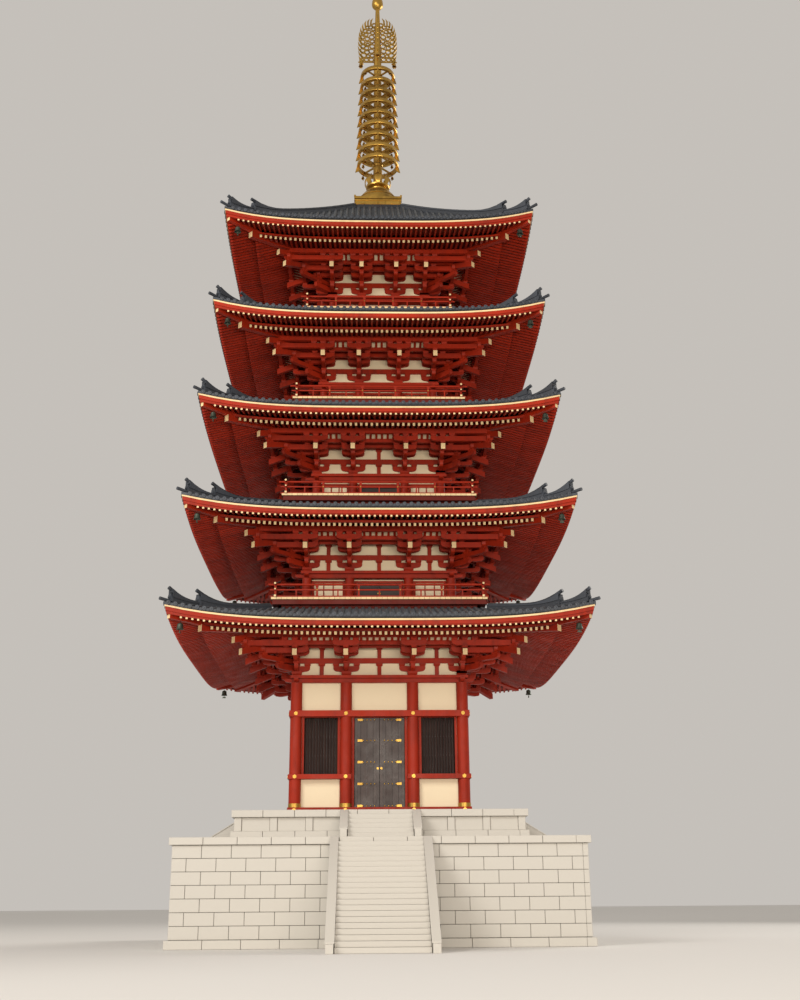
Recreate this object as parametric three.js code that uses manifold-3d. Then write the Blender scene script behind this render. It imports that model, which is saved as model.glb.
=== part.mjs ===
// A five-storey timber pagoda on a stone base, as a 1:2 scale model.
// Every size below is the full-size tower's, in metres; METRE turns it into the model's millimetres.
// Heights are above the ground. The front faces -Y, and the tower's axis is the Z axis.
import * as THREE from "three";
import { mergeVertices } from "three/addons/utils/BufferGeometryUtils.js";
import Module from "manifold-3d";

const wasm = await Module();
wasm.setup();

const METRE = 500; // model millimetres for one metre of the full-size tower
const GAP = 0.001; // clearance between two pieces that touch

// Stone base
const TERRACE_HALF = 8.3;
const TERRACE_TOP = 4.2;
const PODIUM_HALF = 6.1;
const PODIUM_TOP = 5.4;
const PLINTH_HEIGHT = 0.35;
const PLINTH_OUT = 0.14;
const COPING_THICK = 0.3;
const COPING_OUT = 0.12;
const RISER = 0.2;
const TREAD = 0.27;
const LOWER_STAIR_HALF = 1.7;
const UPPER_STAIR_HALF = 1.35;
const CHEEK = 0.32;

// Five storeys, lowest first
const EAVE_Z = [12.94, 17.92, 22.88, 27.82, 32.87]; // top of the pale eave line, at mid-side
const EAVE_HALF = [8.98, 8.57, 8.14, 7.72, 7.41];
const CORNER_COLUMN = [3.74, 3.38, 3.0, 2.73, 2.37];
const INNER_COLUMN = [1.5, 1.385, 1.25, 0.985, 0.87];
const COLUMN_RADIUS = [0.27, 0.23, 0.21, 0.2, 0.18];
const BALCONY_Z = [PODIUM_TOP, 14.87, 19.96, 25.07, 30.18]; // floor of each storey
const BALCONY_HALF = [0, 4.92, 4.575, 4.19, 3.78];
const CORNER_LIFT = 0.61;

// Measured down from the eave line
const BEAM_TOP = 1.47;
const BEAM_HEIGHT = 0.32;

// Roof timber
const FLYING_OUT = 1.3; // the base rafters end this far inside the eave line
const SOFFIT_SLOPE = 0.31;
const BRACKET_REACH = 2.15;
const TILE_THICK = 0.28;
const TILE_EDGE = 0.06;

// Storey bodies
const COLUMN_FACES = 8;
const WALL_FACE = 0.02; // the walls' outer face lies this far inside the column centres
const BEHIND_COLUMN = 0.1; // wall left behind a column
const JAMB = 0.1;
const THRESHOLD = 0.25;
const WINDOW_SILL = 1.7;
const DOOR_HEAD = 4.2;
const UPPER_DOOR_SILL = 0.08;
const UPPER_WINDOW_SILL = 0.2;
const UPPER_HEAD_DROP = 0.16;
const TIE_HEIGHT = 0.3;
const BEAM_WIDE = 0.32;
const PLATE_WIDE = 0.56;
const PLATE_THICK = 0.13;
const SHUTTER_THICK = 0.08;
const DOOR_THICK = 0.12;
const DOOR_SET_BACK = 0.1;
const TIE_PROUD = 0.04; // the tie board stands this far out of the columns
const LOWER_SHUTTER_LAP = [0.2, 0.4]; // boards below the sill, and above the head
const UPPER_SHUTTER_LAP = [0.02, 0.1];

// Eaves, measured from the outer end and top of the pale eave line
const SOFFIT_DROP = 0.41;
const FLYING_STEP = 0.29;
const RAFTER_SETBACK = 0.08;
const RAFTER_DROP = 0.4;
const EAVE_LINE = 0.08;
const ROOF_TIMBER = 0.35;
const MAST_HOLE = 0.5;
const TIMBER_FOOT = 0.25; // the roof timber reaches this far inside the corner columns
const BALCONY_SETBACK = 0.45; // the roof below ends this far under a balcony's edge
const ATTIC_CLEAR = 0.01;
const SLOPE_FOLD = 0.45; // share of the slope at which the roof folds
const CORNER_CURVE = 3.5; // how late along a side the corner's upturn begins
const SLOPE_CURVE = 1.2; // hollow of the roof's slope
const TILE_FADE = 1.5; // how the upturn fades up the slope
const SOFFIT_FADE = 2.5; // how it fades in under the eaves

// Flat tiles, and one in nine of the rows of round tiles over their joints
const PAN_DROP = 0.09; // the flat tiles lie this far below the roof's line
const ROLL_RISE = 0.03; // the round ones stand this far above it
const ROLL_SEAT = 0.06; // and are sunk this far into the flat ones
const ROLL_AT = [1.35, 4.05, 6.75]; // from the middle of a side
const ROLL_HALF = [0.14, 0.05]; // half-width at the seat and on top
const ROLL_END = 0.045; // past the flat tiles at the eave
const ROLL_TO_HIP = 0.02;
const SHORTEST_RUN = 0.3;

// Hip ridges
const RIDGE_WIDTH = 0.36;
const RIDGE_SPLIT = 1.05;
const MAIN_RIDGE = 0.3;
const LOWER_RIDGE = 0.2;
const ENDPIECE = 0.46;
const CORNER_TILE = 0.2;
const CORNER_TILE_RISE = 0.06;
const RIDGE_SEAT = 0.19; // the ridge is sunk this far below the roof's line
const ENDPIECE_BACK = 0.85;
const LOWER_ENDPIECE_BACK = 0.7;
const RIDGE_END = 0.06; // the lower end piece stands this far inside the eave line
const RIDGE_TO_BALCONY = 0.03;
const RIDGE_TO_FINIAL = 0.02;

// Brackets and their tail rafters
const TAIL_REACH = 2.35;
const TAIL_DROP = 0.82;
const TAIL_SLOPE = 0.4;
const TAIL_HALF = 0.13;
const BRACKET_FOOT = 0.1;
const BRACKET_FOOT_OUT = 0.4;
const BRACKET_WIDE = 0.2;
const DIAGONAL_WIDE = 0.22;
const PURLIN_HALF = 0.1;
const PURLIN_DROP = 0.14;
const PURLIN_BLOCK = 0.09;
const PURLIN_BITE = 0.01;
const TAIL_TO_PURLIN = [0.1, 0.17]; // rafter top before and behind the purlin's block
const BRACKET_WALL = [0.12, 0.08]; // in and out from the column centres

// Balconies
const DECK_THICK = 0.12;
const EDGE_BEAM_DROP = 0.32;
const EDGE_BEAM = [0.3, 0.06]; // its inner and outer face, in from the deck's edge
const DECK_SUPPORT = 0.4;
const RAIL_INSET = 0.18;
const RAIL_BAYS = 5;
const RAIL_HEIGHT = 0.62;
const RAIL_THICK = 0.09;

// Finial
const ROBAN_HALF = 1.29;
const ROBAN_Z = 37.55;
const ROBAN_TOP = 38.17;
const ROBAN_WAIST = 0.04;
const ROBAN_FOOT_LIP = 0.1;
const ROBAN_TOP_LIP = 0.13;
const BOWL_FACES = 16;
const RING_FACES = 12;
const BOWL_RADIUS = 1.15;
const BOWL_TOP_RADIUS = 0.45;
const BOWL_STEPS = [22, 45, 66]; // degrees up the bowl
const LOTUS_Z = 39.3;
const LOTUS_DEPTH = 0.5; // floor of the petals' cup, where the mast stands
const RINGS_Z = 40.8;
const RING_PITCH = 0.742;
const RING_COUNT = 9;
const RING_RADIUS = 1.15;
const RING_TAPER = 0.0225; // each ring's radius is this much less than the one below
const RING_SPAN = [0.06, 0.23]; // a hoop's foot and top over its level
const RING_THICK = 0.07;
const RING_LEAN = 0.03;
const SPOKE_HALF = 0.04;
const SPOKE_Z = [0.1, 0.18];
const MAST_RADII = [0.25, 0.22, 0.22, 0.12];
const FLAME_Z = 47.9;
const FLAME_TOP = 51.05;
const FLAME_THICK = 0.06;
const NECK = 0.5; // bare mast over the flame
const BALL_Z = 52.0;
const TIP_Z = 53.3;

// Turned outlines: radius, and height above the foot or above the ball's centre
const LOTUS_PROFILE = [
  [0.42, 0],
  [0.6, 0.2],
  [0.62, 0.45],
  [0.76, 0.68],
  [0.64, 0.68],
];
const JEWEL_PROFILE = [
  [0.26, -0.22],
  [0.34, 0],
  [0.26, 0.22],
  [0.1, 0.34],
  [0.1, 0.42],
  [0.24, 0.62],
  [0.24, 0.82],
  [0.09, 1.1],
];
// One vane pair of the flame: half width, and height above its foot
const FLAME_OUTLINE = [
  [1.2, 0.02],
  [1.24, 0.8],
  [1.18, 1.6],
  [1.04, 2.15],
  [0.8, 2.68],
  [0.4, 3.0],
];

const material = (color, roughness, metalness) =>
  new THREE.MeshStandardMaterial({ color, roughness, metalness });
const GRANITE = material(0xb9b2a6, 0.85, 0);
const VERMILION = material(0xa3261a, 0.5, 0);
const PLASTER = material(0xe6d3ad, 0.9, 0);
const BOARD = material(0x5c1712, 0.6, 0);
const TILE = material(0x3f444b, 0.6, 0);
const GOLD = material(0xb08a3c, 0.35, 1);

// Solids from three.js geometry

function solid(geometry) {
  const plain = geometry.index ? geometry.toNonIndexed() : geometry.clone();
  plain.deleteAttribute("normal");
  plain.deleteAttribute("uv");
  const merged = mergeVertices(plain, 1e-5);
  const made = new wasm.Manifold(
    new wasm.Mesh({
      numProp: 3,
      vertProperties: merged.attributes.position.array,
      triVerts: new Uint32Array(merged.index.array),
    }),
  );
  if (made.volume() < 0) throw new Error("a piece is inside out");
  return made;
}

const join = (pieces) => pieces.reduce((all, piece) => all.add(piece));

const group = new THREE.Group();

function node(name, piece, look) {
  const mesh = piece.getMesh();
  const geometry = new THREE.BufferGeometry();
  geometry.setAttribute("position", new THREE.BufferAttribute(mesh.vertProperties.slice(), 3));
  geometry.setIndex(new THREE.BufferAttribute(mesh.triVerts.slice(), 1));
  geometry.scale(METRE, METRE, METRE);
  geometry.computeVertexNormals();
  const made = new THREE.Mesh(geometry, look);
  made.name = name;
  group.add(made);
}

function boxGeometry(x, y, z) {
  const geometry = new THREE.BoxGeometry(x[1] - x[0], y[1] - y[0], z[1] - z[0]);
  return geometry.translate((x[0] + x[1]) / 2, (y[0] + y[1]) / 2, (z[0] + z[1]) / 2);
}

const box = (x, y, z) => solid(boxGeometry(x, y, z));

// A block on the tower's axis
const slab = (half, z) => box([-half, half], [-half, half], z);

// Exact quarter turns, so that pieces on different sides meet without slivers
const TURNS = [
  [1, 0],
  [0, 1],
  [-1, 0],
  [0, -1],
];

function quarterTurned(geometry, side) {
  const [cos, sin] = TURNS[side];
  const turn = new THREE.Matrix4().set(cos, -sin, 0, 0, sin, cos, 0, 0, 0, 0, 1, 0, 0, 0, 0, 1);
  return geometry.clone().applyMatrix4(turn);
}

// The same front piece on the front, right, back and left sides
const onFourSides = (geometry) => TURNS.map((_, side) => solid(quarterTurned(geometry, side)));

// An outline in (out, z), made thick along x and facing the front
function frontPrism(outline, xLow, xHigh) {
  const shape = new THREE.Shape(outline.map(([out, z]) => new THREE.Vector2(out, z)));
  const geometry = new THREE.ExtrudeGeometry(shape, { depth: xHigh - xLow, bevelEnabled: false });
  const toFront = new THREE.Matrix4().set(0, 0, -1, xHigh, -1, 0, 0, 0, 0, 1, 0, 0, 0, 0, 0, 1);
  return geometry.applyMatrix4(toFront);
}

function turned(profile, segments) {
  const points = profile.map(([radius, z]) => new THREE.Vector2(radius, z));
  return new THREE.LatheGeometry(points, segments).rotateX(Math.PI / 2);
}

// A square ring round the axis. The section is a closed loop of [half, z, lift], anticlockwise in
// (half, z), and lift says how much of the corner's upturn that point takes.
function squareRing(section, steps, lift = 0) {
  const positions = [];
  const index = [];
  const stations = [];
  TURNS.forEach(([cos, sin]) => {
    steps.forEach((along) => stations.push([along, cos, sin]));
  });
  stations.forEach(([along, cos, sin]) => {
    section.forEach(([half, z, share = 0]) => {
      const x = along * half;
      const y = -half;
      const rise = lift * share * Math.abs(along) ** CORNER_CURVE;
      positions.push(x * cos - y * sin, x * sin + y * cos, z + rise);
    });
  });
  const points = section.length;
  stations.forEach((_, s) => {
    const here = s * points;
    const next = ((s + 1) % stations.length) * points;
    for (let p = 0; p < points; p++) {
      const q = (p + 1) % points;
      // One diagonal for outward and inward steps, so that stacked surfaces match
      if (section[p][0] < section[q][0]) {
        index.push(here + p, next + p, next + q, here + p, next + q, here + q);
      } else {
        index.push(here + p, next + p, here + q, next + p, next + q, here + q);
      }
    }
  });
  const geometry = new THREE.BufferGeometry();
  geometry.setAttribute("position", new THREE.Float32BufferAttribute(positions, 3));
  geometry.setIndex(index);
  return solid(geometry);
}

const STRAIGHT = [-1];
const CURVED = [-1, -0.75, -0.35, 0.35, 0.75];

const bandRing = (inner, outer, z) =>
  squareRing([[inner, z[0]], [outer, z[0]], [outer, z[1]], [inner, z[1]]], STRAIGHT);

const outlineOf = (points) => new THREE.Shape(points.map(([across, up]) => new THREE.Vector2(across, up)));

// Stone base

function masonryBlock(half, bottom, top) {
  return join([
    slab(half + PLINTH_OUT, [bottom, bottom + PLINTH_HEIGHT]),
    slab(half, [bottom, top]),
    slab(half + COPING_OUT, [top - COPING_THICK, top]),
  ]);
}

// A straight flight against a block's front face, between two sloping side stones
function stairPieces(half, face, bottom, top) {
  const start = face + PLINTH_OUT + GAP;
  const count = Math.round((top - bottom) / RISER);
  const foot = start + (count - 1) * TREAD;
  const steps = [[start, bottom]];
  for (let k = 0; k < count - 1; k++) {
    steps.push([foot - k * TREAD, bottom + k * RISER], [foot - k * TREAD, bottom + (k + 1) * RISER]);
  }
  steps.push([start, top - RISER]);
  const cheek = [
    [start, bottom],
    [foot + CHEEK, bottom],
    [foot + CHEEK, bottom + CHEEK],
    [foot, bottom + CHEEK],
    [start, top],
  ];
  return [
    frontPrism(steps, -half, half),
    frontPrism(cheek, half, half + CHEEK),
    frontPrism(cheek, -half - CHEEK, -half),
  ];
}

const onSide = (pieces, side) =>
  join(pieces.map((geometry) => solid(quarterTurned(geometry, side))));

node("terrace", masonryBlock(TERRACE_HALF, 0, TERRACE_TOP), GRANITE);
node("podium", masonryBlock(PODIUM_HALF, TERRACE_TOP + GAP, PODIUM_TOP), GRANITE);
const SIDES = ["front", "right", "back", "left"];
const lowerStair = stairPieces(LOWER_STAIR_HALF, TERRACE_HALF, 0, TERRACE_TOP);
node("terrace_stair_front", onSide(lowerStair, 0), GRANITE);
node("terrace_stair_back", onSide(lowerStair, 2), GRANITE);
const upperStair = stairPieces(UPPER_STAIR_HALF, PODIUM_HALF, TERRACE_TOP + GAP, PODIUM_TOP);
SIDES.forEach((side, turn) => node("podium_stair_" + side, onSide(upperStair, turn), GRANITE));

// Storey bodies

function columnPlaces(storey) {
  const corner = CORNER_COLUMN[storey];
  const along = [-corner, -INNER_COLUMN[storey], INNER_COLUMN[storey], corner];
  const places = [];
  along.forEach((x) => {
    along.forEach((y) => {
      if (Math.max(Math.abs(x), Math.abs(y)) === corner) places.push([x, y]);
    });
  });
  return places;
}

function columns(storey, radius, z) {
  return columnPlaces(storey).map(([x, y]) => {
    const shaft = new THREE.CylinderGeometry(radius, radius, z[1] - z[0], COLUMN_FACES);
    return solid(shaft.rotateX(Math.PI / 2).translate(x, y, (z[0] + z[1]) / 2));
  });
}

function storeyLevels(storey) {
  const floor = BALCONY_Z[storey];
  const beamTop = EAVE_Z[storey] - BEAM_TOP;
  const beamBottom = beamTop - BEAM_HEIGHT;
  if (storey > 0) {
    return {
      floor,
      beamTop,
      beamBottom,
      doorSill: floor + UPPER_DOOR_SILL,
      windowSill: floor + UPPER_WINDOW_SILL,
      head: beamBottom - UPPER_HEAD_DROP,
    };
  }
  return {
    floor,
    beamTop,
    beamBottom,
    doorSill: floor + THRESHOLD,
    windowSill: floor + WINDOW_SILL,
    head: floor + DOOR_HEAD,
  };
}

function frame(storey) {
  const { floor, beamTop, beamBottom, head } = storeyLevels(storey);
  const corner = CORNER_COLUMN[storey];
  const radius = COLUMN_RADIUS[storey];
  const tie = [corner - WALL_FACE + GAP, corner + radius + TIE_PROUD];
  const plate = beamTop - PLATE_THICK;
  const beam = [
    [corner - BEAM_WIDE / 2, beamBottom],
    [corner + BEAM_WIDE / 2, beamBottom],
    [corner + BEAM_WIDE / 2, plate],
    [corner + PLATE_WIDE / 2, plate],
    [corner + PLATE_WIDE / 2, beamTop],
    [corner - PLATE_WIDE / 2, beamTop],
    [corner - PLATE_WIDE / 2, plate],
    [corner - BEAM_WIDE / 2, plate],
  ];
  const pieces = columns(storey, radius, [floor + GAP, beamBottom + GAP]);
  pieces.push(squareRing(beam, STRAIGHT));
  if (storey === 0) pieces.push(bandRing(...tie, [head, head + TIE_HEIGHT]));
  return join(pieces);
}

function doorHalf(storey) {
  return INNER_COLUMN[storey] - COLUMN_RADIUS[storey] - JAMB;
}

function wallOpenings(storey) {
  const { doorSill, windowSill, head } = storeyLevels(storey);
  const corner = CORNER_COLUMN[storey];
  const radius = COLUMN_RADIUS[storey];
  const depth = [-corner - 1, -corner + 1];
  const half = doorHalf(storey);
  const low = INNER_COLUMN[storey] + radius + JAMB;
  const high = corner - radius - JAMB;
  return [
    boxGeometry([-half, half], depth, [doorSill, head]),
    boxGeometry([low, high], depth, [windowSill, head]),
    boxGeometry([-high, -low], depth, [windowSill, head]),
  ];
}

// The first storey's walls stand between the columns, and the low upper ones just behind them
function walls(storey) {
  const { floor, beamBottom } = storeyLevels(storey);
  const corner = CORNER_COLUMN[storey];
  const radius = COLUMN_RADIUS[storey];
  const z = [floor + GAP, beamBottom - GAP];
  const outer = storey ? corner - radius - GAP : corner - WALL_FACE;
  let shell = bandRing(corner - radius - BEHIND_COLUMN, outer, z);
  if (storey === 0) {
    columns(storey, radius + GAP, [floor - 1, beamBottom + 1]).forEach((column) => {
      shell = shell.subtract(column);
    });
  }
  wallOpenings(storey).forEach((opening) => {
    onFourSides(opening).forEach((cut) => {
      shell = shell.subtract(cut);
    });
  });
  return shell;
}

// Thin boards just behind a storey's openings
function shutters(storey) {
  const { doorSill, windowSill, head } = storeyLevels(storey);
  const outer = CORNER_COLUMN[storey] - COLUMN_RADIUS[storey] - BEHIND_COLUMN - GAP;
  const [below, above] = storey ? UPPER_SHUTTER_LAP : LOWER_SHUTTER_LAP;
  const low = (storey ? doorSill : windowSill) - below;
  const high = head + above;
  let boards = bandRing(outer - SHUTTER_THICK, outer, [low, high]);
  if (storey === 0) {
    const half = doorHalf(storey);
    const cut = boxGeometry([-half, half], [-outer - 1, -outer + 1], [low - 1, head]);
    onFourSides(cut).forEach((gap) => {
      boards = boards.subtract(gap);
    });
  }
  return boards;
}

function doorPanel() {
  const { doorSill, head } = storeyLevels(0);
  const half = doorHalf(0) - GAP;
  const face = CORNER_COLUMN[0] - DOOR_SET_BACK;
  return boxGeometry([-half, half], [-face, -face + DOOR_THICK], [doorSill + GAP, head - GAP]);
}

// Roofs

const TOP_ROOF = EAVE_Z.length - 1;

function roofInner(storey) {
  if (storey === TOP_ROOF) return ROBAN_HALF + ATTIC_CLEAR;
  return BALCONY_HALF[storey + 1] - BALCONY_SETBACK;
}

function roofInnerTop(storey) {
  if (storey === TOP_ROOF) return ROBAN_Z - ATTIC_CLEAR;
  return BALCONY_Z[storey + 1] - EDGE_BEAM_DROP;
}

function clampedPower(value, power) {
  return Math.max(0, Math.min(1, value)) ** power;
}

// Height of the tiles at a distance from the axis, half-way along a side
function tileTop(storey, half) {
  const inner = roofInner(storey);
  const climb = clampedPower((EAVE_HALF[storey] - half) / (EAVE_HALF[storey] - inner), SLOPE_CURVE);
  const eave = EAVE_Z[storey] + TILE_THICK;
  return eave + (roofInnerTop(storey) - eave) * climb;
}

// Share of the corner's upturn that the roof's top takes at that distance
function tileShare(storey, half) {
  const inner = roofInner(storey);
  return clampedPower((half - inner) / (EAVE_HALF[storey] - inner), TILE_FADE);
}

const soffitZ = (storey, half) =>
  EAVE_Z[storey] - SOFFIT_DROP + (EAVE_HALF[storey] - FLYING_OUT - half) * SOFFIT_SLOPE;

function soffitShare(storey, half) {
  const corner = CORNER_COLUMN[storey];
  return clampedPower((half - corner) / (EAVE_HALF[storey] - corner), SOFFIT_FADE);
}

function slopePoints(storey) {
  const inner = roofInner(storey);
  const outer = EAVE_HALF[storey];
  return [SLOPE_FOLD, 1].map((part) => outer + (inner - outer) * part);
}

function tileSection(storey) {
  const edge = EAVE_HALF[storey] + TILE_EDGE;
  const eave = EAVE_Z[storey];
  const line = slopePoints(storey).map((half) => [half, tileTop(storey, half), tileShare(storey, half)]);
  const top = line.map(([half, z, share]) => [half, z - PAN_DROP, share]);
  const bottom = line.map(([half, z, share]) => [half, z - TILE_THICK + GAP, share]).reverse();
  return [...bottom, [edge, eave + GAP, 1], [edge, eave + TILE_THICK - PAN_DROP, 1], ...top];
}

// Where ridges and rows of tiles begin, clear of the balcony or finial above
function slopeStart(storey) {
  if (storey === TOP_ROOF) return roofInner(storey) + RIDGE_TO_FINIAL;
  return BALCONY_HALF[storey + 1] + RIDGE_TO_BALCONY;
}

// The upturn of a faceted eave at a share of its side
function facetRise(along) {
  const stops = [...CURVED.filter((stop) => stop > 0), 1];
  const next = Math.max(1, stops.findIndex((stop) => stop >= along));
  const [low, high] = [stops[next - 1], stops[next]];
  const part = Math.max(0, (along - low) / (high - low));
  return low ** CORNER_CURVE + (high ** CORNER_CURVE - low ** CORNER_CURVE) * part;
}

// Height of the faceted roof's line over a point of the front side
function facetTop(storey, out, x) {
  const [fold, inner] = slopePoints(storey);
  const eave = [EAVE_HALF[storey] + TILE_EDGE, EAVE_Z[storey] + TILE_THICK, 1];
  const middle = [fold, tileTop(storey, fold), tileShare(storey, fold)];
  const last = [inner, tileTop(storey, inner), tileShare(storey, inner)];
  const [from, to] = out > fold ? [eave, middle] : [middle, last];
  const part = (out - from[0]) / (to[0] - from[0]);
  const [z, share] = [1, 2].map((k) => from[k] + (to[k] - from[k]) * part);
  return z + CORNER_LIFT * share * facetRise(Math.abs(x) / out);
}

// A row of round tiles down the front slope, from the balcony or the hip to the eave
function tileRoll(storey, x) {
  const end = EAVE_HALF[storey] + TILE_EDGE + ROLL_END;
  const start = Math.max(slopeStart(storey), Math.abs(x) + ROLL_TO_HIP);
  const fold = slopePoints(storey)[0];
  const stations = start < fold - SHORTEST_RUN ? [end, fold, start] : [end, start];
  const runs = stations.length - 1;
  const roll = new THREE.BoxGeometry(1, 1, 1, 1, runs, 1);
  const place = roll.attributes.position;
  for (let v = 0; v < place.count; v++) {
    const out = stations[Math.round((place.getY(v) + 0.5) * runs)];
    const seated = place.getZ(v) < 0;
    const side = Math.sign(place.getX(v)) * ROLL_HALF[seated ? 0 : 1];
    const z = facetTop(storey, out, x) + (seated ? -PAN_DROP - ROLL_SEAT : ROLL_RISE);
    place.setXYZ(v, x + side, -out, z);
  }
  return roll;
}

// The ridge over a hip: a main length with a tall end piece, then a lower one out to the corner
function hipRidge(storey) {
  const edge = EAVE_HALF[storey];
  const surface = (half) => tileTop(storey, half) + CORNER_LIFT * tileShare(storey, half);
  const inner = slopeStart(storey);
  const split = edge - RIDGE_SPLIT;
  const middle = (inner + split) / 2;
  const lowerEnd = edge - RIDGE_END;
  const lowerBack = lowerEnd - LOWER_ENDPIECE_BACK;
  const back = split - ENDPIECE_BACK;
  const outline = [
    ...[inner, slopePoints(storey)[0], edge].map((half) => [half, facetTop(storey, half, half) - RIDGE_SEAT]),
    [edge + CORNER_TILE, surface(edge) + CORNER_TILE_RISE],
    [lowerEnd, surface(edge) + ENDPIECE],
    [lowerBack, surface(lowerBack) + LOWER_RIDGE],
    [split, surface(split) + LOWER_RIDGE],
    [split, surface(split) + ENDPIECE],
    [back, surface(back) + MAIN_RIDGE],
    [middle, surface(middle) + MAIN_RIDGE],
    [inner, surface(inner) + MAIN_RIDGE],
  ].map(([half, z]) => [half * Math.SQRT2, z]);
  return frontPrism(outline, -RIDGE_WIDTH / 2, RIDGE_WIDTH / 2).rotateZ(Math.PI / 4);
}

function tileRoof(storey) {
  const slopes = squareRing(tileSection(storey), CURVED, CORNER_LIFT);
  const rolls = ROLL_AT.flatMap((x) => [tileRoll(storey, x), tileRoll(storey, -x)]);
  return join([slopes, ...onFourSides(hipRidge(storey)), ...rolls.flatMap(onFourSides)]);
}

function timberSection(storey) {
  const eaveHalf = EAVE_HALF[storey];
  const eave = EAVE_Z[storey];
  const body = CORNER_COLUMN[storey] - TIMBER_FOOT;
  const purlin = CORNER_COLUMN[storey] + BRACKET_REACH;
  const step = eaveHalf - FLYING_OUT;
  const top = slopePoints(storey).map((half) => [
    half,
    tileTop(storey, half) - TILE_THICK,
    tileShare(storey, half),
  ]);
  const seat = top[top.length - 1][1];
  const eaveLine = [
    [body, soffitZ(storey, body)],
    [purlin, soffitZ(storey, purlin), soffitShare(storey, purlin)],
    [step, soffitZ(storey, step), soffitShare(storey, step)],
    [step, soffitZ(storey, step) + FLYING_STEP, soffitShare(storey, step)],
    [eaveHalf - RAFTER_SETBACK, eave - RAFTER_DROP, 1],
    [eaveHalf, eave - EAVE_LINE, 1],
    [eaveHalf, eave, 1],
    ...top,
  ];
  if (storey < TOP_ROOF) return [...eaveLine, [body, seat]];
  const attic = CORNER_COLUMN[storey] + BRACKET_REACH;
  return [
    ...eaveLine,
    [MAST_HOLE, seat],
    [MAST_HOLE, seat - ROOF_TIMBER],
    [attic, tileTop(storey, attic) - TILE_THICK - ROOF_TIMBER],
    [attic, soffitZ(storey, attic) + ROOF_TIMBER],
    [body, soffitZ(storey, body) + ROOF_TIMBER],
  ];
}

// Brackets: arms stepping out from each column to carry the eave purlin, with a sloping tail rafter

function bracketOutline(storey, stretch) {
  const corner = CORNER_COLUMN[storey];
  const eave = EAVE_Z[storey];
  const purlin = corner + BRACKET_REACH;
  const tail = (half) => eave - TAIL_DROP + (corner + TAIL_REACH - half) * TAIL_SLOPE;
  return [
    [corner, eave - BEAM_TOP + BRACKET_FOOT],
    [corner + BRACKET_FOOT_OUT, eave - BEAM_TOP + BRACKET_FOOT],
    [corner + TAIL_REACH, eave - TAIL_DROP - TAIL_HALF],
    [corner + TAIL_REACH, eave - TAIL_DROP + TAIL_HALF],
    [purlin + PURLIN_BLOCK, tail(purlin) + TAIL_TO_PURLIN[0]],
    [purlin + PURLIN_BLOCK, eave - PURLIN_DROP + PURLIN_BITE],
    [purlin - PURLIN_BLOCK, eave - PURLIN_DROP + PURLIN_BITE],
    [purlin - PURLIN_BLOCK, tail(purlin) + TAIL_TO_PURLIN[1]],
    [corner, tail(corner) + TAIL_HALF],
  ].map(([half, z]) => [half * stretch, z]);
}

function brackets(storey) {
  const corner = CORNER_COLUMN[storey];
  const eave = EAVE_Z[storey];
  const purlin = corner + BRACKET_REACH;
  const straight = [-corner, -INNER_COLUMN[storey], INNER_COLUMN[storey], corner];
  const armAt = (x) => frontPrism(bracketOutline(storey, 1), x - BRACKET_WIDE / 2, x + BRACKET_WIDE / 2);
  const diagonal = frontPrism(bracketOutline(storey, Math.SQRT2), -DIAGONAL_WIDE / 2, DIAGONAL_WIDE / 2);
  const wall = [corner - BRACKET_WALL[0], corner + BRACKET_WALL[1]];
  const wallTop = soffitZ(storey, wall[1]) - GAP;
  const purlinTop = soffitZ(storey, purlin + PURLIN_HALF) - GAP;
  return join([
    bandRing(...wall, [eave - BEAM_TOP + GAP, wallTop]),
    bandRing(purlin - PURLIN_HALF, purlin + PURLIN_HALF, [eave - PURLIN_DROP, purlinTop]),
    ...[...straight.map(armAt), diagonal.rotateZ(Math.PI / 4)].flatMap(onFourSides),
  ]);
}

for (let storey = 0; storey < EAVE_Z.length; storey++) {
  const name = "storey" + (storey + 1);
  node(name + "_frame", frame(storey), VERMILION);
  node(name + "_walls", walls(storey), PLASTER);
  node(name + "_shutters", shutters(storey), BOARD);
  node(name + "_brackets", brackets(storey), VERMILION);
  const timber = squareRing(timberSection(storey), CURVED, CORNER_LIFT);
  node("roof" + (storey + 1) + "_timber", timber, VERMILION);
  node("roof" + (storey + 1) + "_tiles", tileRoof(storey), TILE);
}
SIDES.forEach((side, turn) => node("storey1_door_" + side, onSide([doorPanel()], turn), BOARD));

// Balconies

function balconyFloor(storey) {
  const top = BALCONY_Z[storey];
  const half = BALCONY_HALF[storey];
  const inner = roofInner(storey - 1);
  const seat = roofInnerTop(storey - 1) - TILE_THICK;
  return join([
    slab(half, [top - DECK_THICK, top]),
    bandRing(half - EDGE_BEAM[0], half - EDGE_BEAM[1], [top - EDGE_BEAM_DROP + GAP, top - DECK_THICK]),
    bandRing(inner - DECK_SUPPORT, inner - GAP, [seat + GAP, top - DECK_THICK]),
  ]);
}

function railing(storey) {
  const floor = BALCONY_Z[storey];
  const half = BALCONY_HALF[storey] - RAIL_INSET;
  const bay = (2 * half) / RAIL_BAYS;
  const thin = RAIL_THICK / 2;
  const top = floor + RAIL_HEIGHT;
  const levels = [[floor + GAP, floor + RAIL_THICK], [top - thin, top + thin]];
  const rails = levels.map((z) => bandRing(half - thin, half + thin, z));
  const posts = [];
  for (let k = 0; k < RAIL_BAYS; k++) {
    const x = -half + k * bay;
    posts.push(boxGeometry([x - thin, x + thin], [-half - thin, -half + thin], [floor + thin, top]));
  }
  return join([...rails, ...posts.flatMap(onFourSides)]);
}

for (let storey = 1; storey < EAVE_Z.length; storey++) {
  const name = "storey" + (storey + 1);
  node(name + "_balcony", balconyFloor(storey), VERMILION);
  node(name + "_railing", railing(storey), VERMILION);
}

// Finial

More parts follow.
